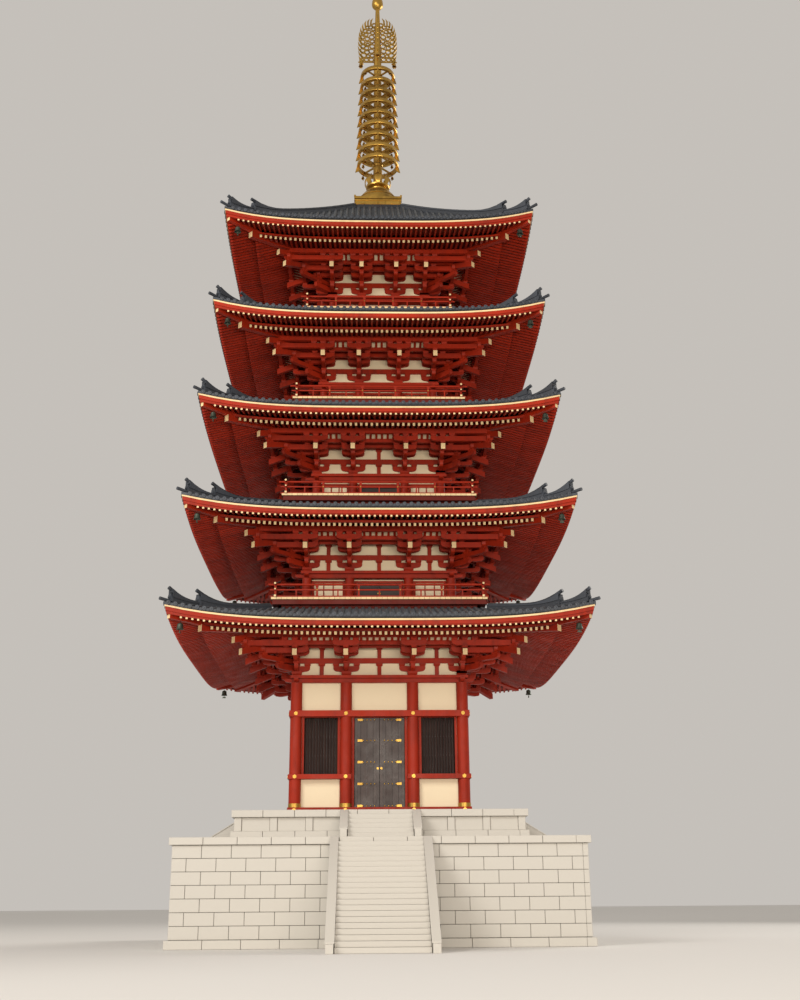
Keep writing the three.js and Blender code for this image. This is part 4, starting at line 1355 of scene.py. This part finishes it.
def bell(bm, top, size):
    """A small bell with a flared mouth, hung on a link, with a wind plate under it."""
    x, y, z = top
    profile = [(0, -0.2), (0.35, -0.22), (0.5, -0.4), (0.55, -1.0), (0.7, -1.3)]
    profile += [(0.6, -1.3), (0.45, -1.0), (0.42, -0.5), (0, -0.4)]
    lathe(bm, [(radius * size, up * size) for radius, up in profile], 12, top)
    rod(bm, (x, y, z), (x, y, z - 0.25 * size), 0.06 * size, 6)
    rod(bm, (x, y, z - 0.4 * size), (x, y, z - 1.6 * size), 0.04 * size, 6)
    plate = [(-0.3, -1.6), (0.3, -1.6), (0.42, -1.95), (0.15, -1.85)]
    plate += [(0, -2.0), (-0.15, -1.85), (-0.42, -1.95)]
    points = [(x + across * size, y - 0.02, z + up * size) for across, up in plate]
    prism(bm, points, (0, 0.04, 0))


def build_bells(storey):
    """A wind bell under each hip rafter."""
    at = BELL_AT[storey]
    bm = bmesh.new()
    bell(bm, (at, -at, EAVE_Z[storey] - 0.02), 0.24)
    on_four_sides(bm)
    put_piece(bm, f"roof{storey + 1}_wind_bells", ["bronze"], ())


# Balconies


def build_balcony(storey):
    """A floor of planks with cream ends, on an edge beam and an inner support."""
    top, half = FLOOR_Z[storey], BALCONY_HALF[storey]
    inner = roof_inner(storey - 1)
    seat = roof_inner_top(storey - 1) - TILE_THICK
    under = top - PLANK_THICK
    bm = bmesh.new()
    count = round(2 * half / PLANK_PITCH)
    pitch = 2 * half / count
    for k in range(count):
        x = -half + k * pitch + pitch / 2
        for hand in (-1, 1):
            foot, tip = (x, hand * inner, under), (x, hand * half, under)
            stick(bm, foot, tip, pitch - PLANK_GAP, PLANK_THICK, 1, 2)
    count = round(2 * inner / PLANK_PITCH)
    pitch = 2 * inner / count
    for k in range(count):
        y = -inner + (k + 0.5) * pitch
        for hand in (-1, 1):
            foot, tip = (hand * inner, y, under), (hand * half, y, under)
            stick(bm, foot, tip, pitch - PLANK_GAP, PLANK_THICK, 1, 2)
    for hand in (-1, 1):
        left, right = sorted((hand * half, hand * (half + 0.004)))
        for end in (-1, 1):
            near, far = sorted((end * inner, end * half))
            block(bm, (left, near, under), (right, far, top), 2)
    slab(bm, inner, top - 0.12, top - 0.02, 1)
    before = set(bm.verts)
    # The edge beam and the inner support take the darkened timber copy: painted shade under the deck's edge.
    square_band(bm, half - 0.3, half - 0.06, top - EDGE_BEAM_DROP, under)
    square_band(bm, inner - 0.4, inner, seat, under)
    on_four_sides(bm, before)
    name = f"storey{storey + 1}_balcony"
    put_piece(bm, name + "_planks", ["timber_painted_shade", "planks", "cream"], [name])


def build_railing(storey):
    """A low railing of three rails that cross at the corners with cream ends."""
    timber = bpy.context.scene.pagoda_timber
    floor, half = FLOOR_Z[storey], BALCONY_HALF[storey] - RAIL_INSET
    reach = half + timber.rail_overrun
    top = floor + timber.rail_height
    bm = bmesh.new()
    for low, wide, high in ((0.005, 0.1, 0.09), (0.34, 0.07, 0.06)):
        depth, height = (half - wide / 2, half + wide / 2), (floor + low, floor + low + high)
        paint_ends(front_block(bm, (-reach, reach), depth, height), 1)
    paint_ends(rod(bm, (-reach - 0.07, -half, top), (reach + 0.07, -half, top), 0.05, 10), 1)
    for k in range(RAIL_BAYS):
        x = -half + 2 * half * k / RAIL_BAYS
        front_block(bm, (x - 0.045, x + 0.045), (half - 0.045, half + 0.045), (floor + 0.09, top - 0.1))
        masu(bm, x, half, top - 0.12, 0.13, 0.09)
        boss(bm, x, floor + 0.37, half + 0.04, half + 0.07, 0.035, 6, 2)
        middle = x + half / RAIL_BAYS
        depth, height = (half - 0.03, half + 0.03), (floor + 0.09, floor + 0.34)
        front_block(bm, (middle - 0.03, middle + 0.03), depth, height)
    on_four_sides(bm)
    name = f"storey{storey + 1}_railing"
    put_piece(bm, name + "_rails", ["vermilion", "cream", "gilding"], [name])


# Finial


def build_finial_base():
    """The square box under the finial, with lips, raised panels and corner ears."""
    low, high = BOX_Z
    body = BOX_HALF - 0.04
    bm = bmesh.new()
    slab(bm, body, roof_inner_top(TOP) - TILE_THICK, high - 0.2)
    slab(bm, BOX_HALF - 0.1, high - 0.22, high - 0.02)
    slab(bm, BOX_HALF, low, low + 0.1)
    slab(bm, BOX_HALF - 0.01, high - 0.26, high - 0.26 + 0.07)
    slab(bm, BOX_HALF, high - 0.14, high)
    before = set(bm.verts)
    middle = (low + high) / 2 - 0.08
    for x in (-0.8, 0, 0.8):
        front_block(bm, (x - 0.36, x + 0.36), (body - 0.01, body + 0.015), (low + 0.14, high - 0.3))
        boss(bm, x, middle, body + 0.01, body + 0.03, 0.07, 12)
    ear = [(-0.14, -0.02), (-0.05, 0.03), (-0.01, 0.08), (0.01, -0.05)]
    for side in (-1, 1):
        outline = [(side * (BOX_HALF + out), high + up) for out, up in ear]
        face_prism(bm, outline, BOX_HALF + 0.01, 0.1)
    on_four_sides(bm, before)
    put_piece(bm, "finial_dew_box", ["gilding"], ["finial_base"])


def build_finial_bowl():
    """The upturned bowl, with two raised bands."""
    base, radius = BOX_Z[1], BOWL_RADIUS
    profile = [(0, base), (radius + 0.02, base), (radius + 0.02, base + 0.05)]
    for degrees in range(4, 72, 4):
        angle = math.radians(degrees)
        profile.append((radius * math.cos(angle), base + radius * math.sin(angle)))
    profile += [(0.42, LOTUS_Z - 0.03), (0.42, LOTUS_Z), (0, LOTUS_Z)]
    bm = bmesh.new()
    lathe(bm, profile, 48)
    band = [(-0.03, -0.03), (0.025, -0.02), (0.01, 0.03), (-0.03, 0.02)]
    for degrees in (24, 52):
        angle = math.radians(degrees)
        out, z = (radius + 0.005) * math.cos(angle), base + (radius + 0.005) * math.sin(angle)
        closed_ring(bm, [(out + across, z + up) for across, up in band], 48)
    put_piece(bm, "finial_upturned_bowl", ["gilding"], ["finial_bowl"])


def petal(bm, rim, low, high, width):
    """One thin upright petal on the front: it swells outwards and closes in to a tip."""
    rise = high - low
    # Height share, distance beyond the rim, width share
    curve = [(0, 0, 0.35), (0.15, 0.08, 0.7), (0.4, 0.13, 1)]
    curve += [(0.65, 0.1, 0.9), (0.85, 0.02, 0.55), (1, -0.08, 0.15)]
    ups, _, wides = zip(*curve)
    outer = [(rim + out, low + up * rise) for up, out, _ in curve]
    inner = [(out - 0.035, z) for out, z in reversed(outer)]
    made = front_prism(bm, [*outer, *inner], -width / 2, width / 2)
    for vert in made:
        vert.co.x *= np.interp((vert.co.z - low) / rise, ups, wides)
    return made


def build_finial_lotus():
    """The lotus: a round seat with eight petals that stand on its rim."""
    base = LOTUS_Z
    seat = [(0, 0), (0.42, 0), (0.44, 0.06), (0.64, 0.13), (0.66, 0.2), (0.3, 0.26), (0.27, 0.5), (0, 0.5)]
    bm = bmesh.new()
    lathe(bm, [(radius, base + up) for radius, up in seat], 32)
    around(bm, petal(bm, 0.6, base + 0.17, base + 0.92, 0.36), 8)
    put_piece(bm, "finial_lotus_petals", ["gilding"], ["finial_lotus"])


def build_finial_rings():
    """Nine hoops on the mast, each on four spokes, with four small bells and four flared fins."""
    hoop = [(0, 0.02), (0.02, 0.05), (0, 0.22), (-0.02, 0.25), (-0.13, 0.25), (-0.15, 0.02)]
    hub = [(0, 0.03), (0.27, 0.03), (0.3, 0.14), (0.27, 0.25), (0, 0.25)]
    fin = [(-0.13, 0.15), (0, 0.15), (0.06, -0.1), (0.11, -0.3), (-0.02, -0.25), (-0.13, -0.17)]
    bm = bmesh.new()
    lathe(bm, [(0, MAST_Z), (0.25, MAST_Z), (0.22, FLAME_Z), (0, FLAME_Z)], 24)
    for index in range(RING_COUNT):
        z = RINGS_Z + index * RING_PITCH
        radius = RING_RADIUS - RING_SHRINK * index
        closed_ring(bm, [(radius + out, z + up) for out, up in hoop], 48)
        lathe(bm, [(out, z + up) for out, up in hub], 20)
        around(bm, front_prism(bm, [(radius + out, z + up) for out, up in fin], -0.03, 0.03), 4)
        before = set(bm.verts)
        front_block(bm, (-0.04, 0.04), (0.2, radius - 0.05), (z + 0.1, z + 0.18))
        bell(bm, (0, -radius - 0.03, z + 0.02), 0.13)
        to_diagonal(bm, before)
        on_four_sides(bm, before)
    put_piece(bm, "finial_nine_rings", ["gilding"], ["finial_rings"])


def flat_ring(bm, x, z, radius):
    """A small ring that stands in the vane's plane."""
    inner, half = radius - 0.062, 0.03
    made = closed_ring(bm, [(inner, -half), (radius, -half), (radius, half), (inner, half)], 12)
    place = Matrix.Translation((x, 0, z)) @ Matrix.Rotation(math.pi / 2, 4, "X")
    bmesh.ops.transform(bm, matrix=place, verts=made)


def lick(bm, x, z, length, angle):
    """A pointed tongue of flame, bent upwards."""
    middle = length * 0.5
    outline = [(-0.1, -0.05), (middle, -0.04), (length, 0.11), (middle, 0.055), (-0.1, 0.05)]
    made = prism(bm, [(across, -0.03, up) for across, up in outline], (0, 0.06, 0))
    place = Matrix.Translation((x, 0, z)) @ Matrix.Rotation(-math.radians(angle), 4, "Y")
    bmesh.ops.transform(bm, matrix=place, verts=made)


# The flame's vane: distance out, height above its foot and radius of each ring
FLAME_RINGS = (
    (0.36, 0.2, 0.16),
    (0.64, 0.19, 0.15),
    (0.91, 0.18, 0.14),
    (0.31, 0.49, 0.15),
    (0.55, 0.45, 0.13),
    (0.82, 0.49, 0.19),
    (0.61, 0.72, 0.16),
    (0.35, 0.8, 0.18),
    (0.88, 0.83, 0.17),
    (0.63, 1.01, 0.15),
    (0.31, 1.13, 0.17),
    (0.85, 1.13, 0.16),
    (0.57, 1.32, 0.2),
    (0.57, 1.27, 0.12),
    (0.88, 1.44, 0.17),
    (0.31, 1.49, 0.15),
    (0.6, 1.66, 0.16),
    (0.9, 1.76, 0.16),
    (0.34, 1.79, 0.17),
    (0.66, 1.95, 0.14),
    (0.29, 2.08, 0.14),
    (0.87, 2.04, 0.13),
    (0.5, 2.17, 0.14),
    (0.74, 2.22, 0.15),
    (0.25, 2.35, 0.13),
    (0.6, 2.46, 0.13),
    (0.4, 2.48, 0.14),
    (0.2, 2.63, 0.15),
)
# Its pointed tongues: distance out, height, length and angle
FLAME_TONGUES = (
    (0.91, -0.08, 0.28, 38),
    (0.89, 0.12, 0.4, 44),
    (0.9, 0.41, 0.45, 47),
    (0.92, 0.72, 0.48, 49),
    (0.94, 1.05, 0.48, 53),
    (0.95, 1.39, 0.47, 57),
    (0.95, 1.72, 0.45, 62),
    (0.91, 2.04, 0.43, 68),
    (0.83, 2.32, 0.42, 75),
    (0.71, 2.55, 0.4, 82),
    (0.56, 2.68, 0.4, 88),
    (0.39, 2.77, 0.36, 94),
)


def build_finial_flame():
    """The openwork flame: four vanes of linked rings edged with pointed tongues."""
    low, high = FLAME_Z, STEM_TOP
    bm = bmesh.new()
    for x, up, radius in FLAME_RINGS:
        flat_ring(bm, x, FLAME_Z + up, radius)
    for x, up, length, angle in FLAME_TONGUES:
        lick(bm, x, FLAME_Z + up, length, angle)
    front_block(bm, (0.1, 1.12), (-0.03, 0.03), (FLAME_Z, FLAME_Z + 0.05))
    bell(bm, (0.97, 0, FLAME_Z - 0.03), 0.19)
    rod(bm, (0.97, 0, FLAME_Z + 0.02), (0.97, 0, FLAME_Z - 0.06), 0.012, 6)
    on_four_sides(bm)
    lathe(bm, [(0, low), (0.22, low), (0.12, high), (0, high)], 20)
    put_piece(bm, "finial_flame_openwork", ["gilding"], ["finial_flame"])


def build_finial_jewel():
    """The ball and the pointed jewel at the top."""
    profile = [(0, STEM_TOP), (0.1, STEM_TOP), (0.1, BALL_Z - 0.34), (0.16, BALL_Z - 0.31)]
    for degrees in range(-50, 71, 10):
        angle = math.radians(degrees)
        tall = 0.34 if degrees < 0 else 0.58
        profile.append((0.33 * math.cos(angle), BALL_Z + tall * math.sin(angle)))
    profile += [(0.1, BALL_Z + 0.58), (0.1, BALL_Z + 0.63), (0.17, BALL_Z + 0.68), (0.22, BALL_Z + 0.78)]
    profile += [(0.21, BALL_Z + 0.88), (0.15, BALL_Z + 1.0), (0.07, BALL_Z + 1.14), (0, TIP_Z)]
    bm = bmesh.new()
    lathe(bm, profile, 28)
    put_piece(bm, "finial_ball_and_jewel", ["gilding"], ["finial_jewel"])


# Stage

CAMERA_AT = Vector((-0.3113, -29.1985, 0.785))
CAMERA_YAW = math.radians(1.698)
CAMERA_PITCH = math.radians(18.541)
CAMERA_ROLL = math.radians(-0.438)
FOCAL_SHARE = 1.20904  # focal length as a share of the picture's long side


def lit_panel(name, at, toward, size, power, tint=(1, 0.96, 0.9)):
    """A lamp with a rectangular face, aimed from one point at another."""
    light = bpy.data.lights.new(name, "AREA")
    light.shape = "RECTANGLE"
    light.size, light.size_y = size
    light.energy = power
    light.color = tint
    light.spread = math.radians(120)
    lamp = new_object(name, light)
    aim = (Vector(toward) - Vector(at)).to_track_quat("-Z", "Y")
    lamp.matrix_world = Matrix.Translation(at) @ aim.to_matrix().to_4x4()
    return lamp


def make_floor():
    bm = bmesh.new()
    bmesh.ops.create_grid(bm, x_segments=1, y_segments=1, size=400)
    mesh = bpy.data.meshes.new("studio_floor")
    bm.to_mesh(mesh)
    bm.free()
    material, _, shader = new_material("pale_floor", 0.0, Roughness=0.9)
    shader.inputs["Base Color"].default_value = (0.72, 0.7, 0.67, 1)
    mesh.materials.append(material)
    return new_object("studio_floor", mesh)


def make_camera():
    camera = bpy.data.cameras.new("camera")
    camera.sensor_width = 36
    camera.lens = FOCAL_SHARE * camera.sensor_width
    camera.clip_end = 1000
    holder = new_object("camera", camera)
    heading = Matrix.Rotation(-CAMERA_YAW, 4, "Z")
    tilt = Matrix.Rotation(math.pi / 2 + CAMERA_PITCH, 4, "X")
    roll = Matrix.Rotation(CAMERA_ROLL, 4, "Z")
    holder.matrix_world = Matrix.Translation(CAMERA_AT) @ heading @ tilt @ roll
    bpy.context.scene.camera = holder
    return holder


def make_sky():
    world = bpy.data.worlds.new("studio")
    world.use_nodes = True
    sky = world.node_tree.nodes["Background"]
    sky.inputs["Color"].default_value = (0.93, 0.88, 0.82, 1)
    sky.inputs["Strength"].default_value = 0.6
    bpy.context.scene.world = world


# Settings


def colour_setting(name, description, default):
    return bpy.props.FloatVectorProperty(
        name=name, description=description, subtype="COLOR", min=0, max=1, default=default
    )


def length_setting(name, description, default, low, high):
    return bpy.props.FloatProperty(
        name=name, description=description, default=default, min=low, max=high, unit="LENGTH"
    )


class PagodaColours(bpy.types.PropertyGroup):
    """Colours of the finishes."""

    timber: colour_setting("Timber", "Painted timber", (0.33, 0.02, 0.005))
    cream: colour_setting("Cream", "Eave line and rafter ends", (0.8, 0.6, 0.32))
    plaster: colour_setting("Plaster", "Wall panels", (0.6, 0.45, 0.27))
    lacquer: colour_setting("Lacquer", "Doors and window boards", (0.03, 0.016, 0.013))
    tile: colour_setting("Tile", "Fired roof tiles", (0.036, 0.042, 0.054))
    gilding: colour_setting("Gilding", "Finial and fittings", (0.5, 0.3, 0.065))
    granite: colour_setting("Granite", "Stone base", (0.25, 0.235, 0.21))


class PagodaStone(bpy.types.PropertyGroup):
    """Sizes of the stonework, at full size."""

    course_height: length_setting("Course height", "Height of one course", 0.51, 0.2, 1)
    block_length: length_setting("Block length", "Length of one block", 1.18, 0.4, 3)
    joint: length_setting("Joint", "Gap between stones", 0.016, 0.002, 0.05)


class PagodaTimber(bpy.types.PropertyGroup):
    """Sizes of the timber, at full size."""

    rafter_pitch: length_setting("Rafter pitch", "Spacing of the rafters", 0.24, 0.15, 0.6)
    rail_height: length_setting("Rail height", "Top rail over the floor", 0.62, 0.5, 1.1)
    rail_overrun: length_setting("Rail overrun", "Rails past the corner post", 0.25, 0.05, 0.4)


class PagodaTiles(bpy.types.PropertyGroup):
    """Sizes of the roof tiles, at full size."""

    roll_pitch: length_setting("Roll pitch", "Spacing of the cover tiles", 0.3, 0.2, 0.6)
    cover_length: length_setting("Cover length", "Length of one cover tile", 0.36, 0.25, 1)
    course: length_setting("Course", "Step between courses of pans", 0.26, 0.15, 0.6)


class PAGODA_OT_finishes(bpy.types.Operator):
    """Make the materials from the chosen colours"""

    bl_idname = "pagoda.finishes"
    bl_label = "Finishes"

    def execute(self, context):
        make_finishes()
        return {"FINISHED"}


class PAGODA_OT_terrace(bpy.types.Operator):
    """Build the coursed stone terrace"""

    bl_idname = "pagoda.terrace"
    bl_label = "Terrace"

    def execute(self, context):
        build_terrace()
        return {"FINISHED"}


class PAGODA_OT_podium(bpy.types.Operator):
    """Build the panelled stone podium"""

    bl_idname = "pagoda.podium"
    bl_label = "Podium"

    def execute(self, context):
        build_podium()
        return {"FINISHED"}


class PAGODA_OT_stairs(bpy.types.Operator):
    """Build the flights of steps"""

    bl_idname = "pagoda.stairs"
    bl_label = "Stairs"

    def execute(self, context):
        for side in (0, 2):
            steps, node = "terrace_steps_" + SIDES[side], "terrace_stair_" + SIDES[side]
            build_stair(steps, node, side, LOWER_STAIR_HALF, TERRACE_HALF, 0, TERRACE_TOP)
        for side, name in enumerate(SIDES):
            steps, node = "podium_steps_" + name, "podium_stair_" + name
            build_stair(steps, node, side, UPPER_STAIR_HALF, PODIUM_HALF, TERRACE_TOP, PODIUM_TOP)
        return {"FINISHED"}


class PAGODA_OT_columns(bpy.types.Operator):
    """Build the columns, tie boards and beams of every storey"""

    bl_idname = "pagoda.columns"
    bl_label = "Columns and Beams"

    def execute(self, context):
        for storey in STOREYS:
            build_columns(storey)
        return {"FINISHED"}


class PAGODA_OT_walls(bpy.types.Operator):
    """Build the plaster walls and casings of every storey"""

    bl_idname = "pagoda.walls"
    bl_label = "Walls"

    def execute(self, context):
        for storey in STOREYS:
            build_walls(storey)
        return {"FINISHED"}


class PAGODA_OT_windows(bpy.types.Operator):
    """Build the window boards, bars and upper doors"""

    bl_idname = "pagoda.windows"
    bl_label = "Windows"

    def execute(self, context):
        for storey in STOREYS:
            build_shutters(storey)
        return {"FINISHED"}


class PAGODA_OT_doors(bpy.types.Operator):
    """Build the plank doors of the first storey"""

    bl_idname = "pagoda.doors"
    bl_label = "Doors"

    def execute(self, context):
        for side, name in enumerate(SIDES):
            build_door(name, side)
        return {"FINISHED"}


class PAGODA_OT_brackets(bpy.types.Operator):
    """Build the bracket sets under every roof"""

    bl_idname = "pagoda.brackets"
    bl_label = "Brackets"

    def execute(self, context):
        for storey in STOREYS:
            build_brackets(storey)
        return {"FINISHED"}


class PAGODA_OT_eaves(bpy.types.Operator):
    """Build the rafters and fascias of every roof"""

    bl_idname = "pagoda.eaves"
    bl_label = "Eaves"

    def execute(self, context):
        for storey in STOREYS:
            build_eaves(storey)
        return {"FINISHED"}


class PAGODA_OT_tiles(bpy.types.Operator):
    """Lay the tiles and ridges of every roof"""

    bl_idname = "pagoda.tiles"
    bl_label = "Roof Tiles"

    def execute(self, context):
        for storey in STOREYS:
            build_tiles(storey)
        return {"FINISHED"}


class PAGODA_OT_bells(bpy.types.Operator):
    """Hang the wind bells under the corners"""

    bl_idname = "pagoda.bells"
    bl_label = "Wind Bells"

    def execute(self, context):
        for storey in STOREYS:
            build_bells(storey)
        return {"FINISHED"}


class PAGODA_OT_balconies(bpy.types.Operator):
    """Build the plank floors of the upper storeys"""

    bl_idname = "pagoda.balconies"
    bl_label = "Balconies"

    def execute(self, context):
        for storey in STOREYS[1:]:
            build_balcony(storey)
        return {"FINISHED"}


class PAGODA_OT_railings(bpy.types.Operator):
    """Build the railings of the upper storeys"""

    bl_idname = "pagoda.railings"
    bl_label = "Railings"

    def execute(self, context):
        for storey in STOREYS[1:]:
            build_railing(storey)
        return {"FINISHED"}


class PAGODA_OT_finial_foot(bpy.types.Operator):
    """Build the finial's box, bowl and lotus"""

    bl_idname = "pagoda.finial_foot"
    bl_label = "Finial Foot"

    def execute(self, context):
        build_finial_base()
        build_finial_bowl()
        build_finial_lotus()
        return {"FINISHED"}


class PAGODA_OT_finial_rings(bpy.types.Operator):
    """Build the mast and its nine rings"""

    bl_idname = "pagoda.finial_rings"
    bl_label = "Finial Rings"

    def execute(self, context):
        build_finial_rings()
        return {"FINISHED"}


class PAGODA_OT_finial_top(bpy.types.Operator):
    """Build the flame, the ball and the jewel"""

    bl_idname = "pagoda.finial_top"
    bl_label = "Finial Top"

    def execute(self, context):
        build_finial_flame()
        build_finial_jewel()
        return {"FINISHED"}


class PAGODA_OT_stage(bpy.types.Operator):
    """Set up the floor, the lights, the sky and the camera"""

    bl_idname = "pagoda.stage"
    bl_label = "Stage"

    def execute(self, context):
        floor = make_floor()
        lamps = [
            lit_panel("key_panel", (-24, -34, 22), (0, 0, 12), (16, 16), 4800),
            lit_panel("low_panel", (4, -36, 3.5), (0, 0, 16), (22, 4), 2500, (1, 0.9, 0.78)),
            lit_panel("rim_panel", (28, 20, 24), (0, 0, 12), (14, 14), 3600),
        ]
        make_sky()
        context.scene.view_settings.view_transform = "Standard"
        make_camera()
        return {"FINISHED"}


STEPS_IN_ORDER = (
    "finishes",
    "terrace",
    "podium",
    "stairs",
    "columns",
    "walls",
    "windows",
    "doors",
    "brackets",
    "eaves",
    "tiles",
    "bells",
    "balconies",
    "railings",
    "finial_foot",
    "finial_rings",
    "finial_top",
    "stage",
)


class PAGODA_PT_panel(bpy.types.Panel):
    """The tower's colours, sizes and building steps"""

    bl_idname = "PAGODA_PT_panel"
    bl_label = "Timber Pagoda"
    bl_space_type = "VIEW_3D"
    bl_region_type = "UI"
    bl_category = "Pagoda"

    def draw(self, context):
        scene = context.scene
        for settings in (scene.pagoda_colours, scene.pagoda_stone, scene.pagoda_timber, scene.pagoda_tiles):
            box = self.layout.box()
            for name in settings.__annotations__:
                box.prop(settings, name)
        for step in STEPS_IN_ORDER:
            self.layout.operator("pagoda." + step)


SETTINGS = {
    "pagoda_colours": PagodaColours,
    "pagoda_stone": PagodaStone,
    "pagoda_timber": PagodaTimber,
    "pagoda_tiles": PagodaTiles,
}
CLASSES = (
    *SETTINGS.values(),
    PAGODA_OT_finishes,
    PAGODA_OT_terrace,
    PAGODA_OT_podium,
    PAGODA_OT_stairs,
    PAGODA_OT_columns,
    PAGODA_OT_walls,
    PAGODA_OT_windows,
    PAGODA_OT_doors,
    PAGODA_OT_brackets,
    PAGODA_OT_eaves,
    PAGODA_OT_tiles,
    PAGODA_OT_bells,
    PAGODA_OT_balconies,
    PAGODA_OT_railings,
    PAGODA_OT_finial_foot,
    PAGODA_OT_finial_rings,
    PAGODA_OT_finial_top,
    PAGODA_OT_stage,
    PAGODA_PT_panel,
)


def register():
    for cls in CLASSES:
        bpy.utils.register_class(cls)
    for name, group in SETTINGS.items():
        setattr(bpy.types.Scene, name, bpy.props.PointerProperty(type=group))


def unregister():
    for name in SETTINGS:
        delattr(bpy.types.Scene, name)
    for cls in reversed(CLASSES):
        bpy.utils.unregister_class(cls)


def write_size():
    """Brings the view layer up to date."""
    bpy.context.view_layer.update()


def main():
    register()
    for step in STEPS_IN_ORDER:
        getattr(bpy.ops.pagoda, step)()
    write_size()


if __name__ == "__main__":
    main()
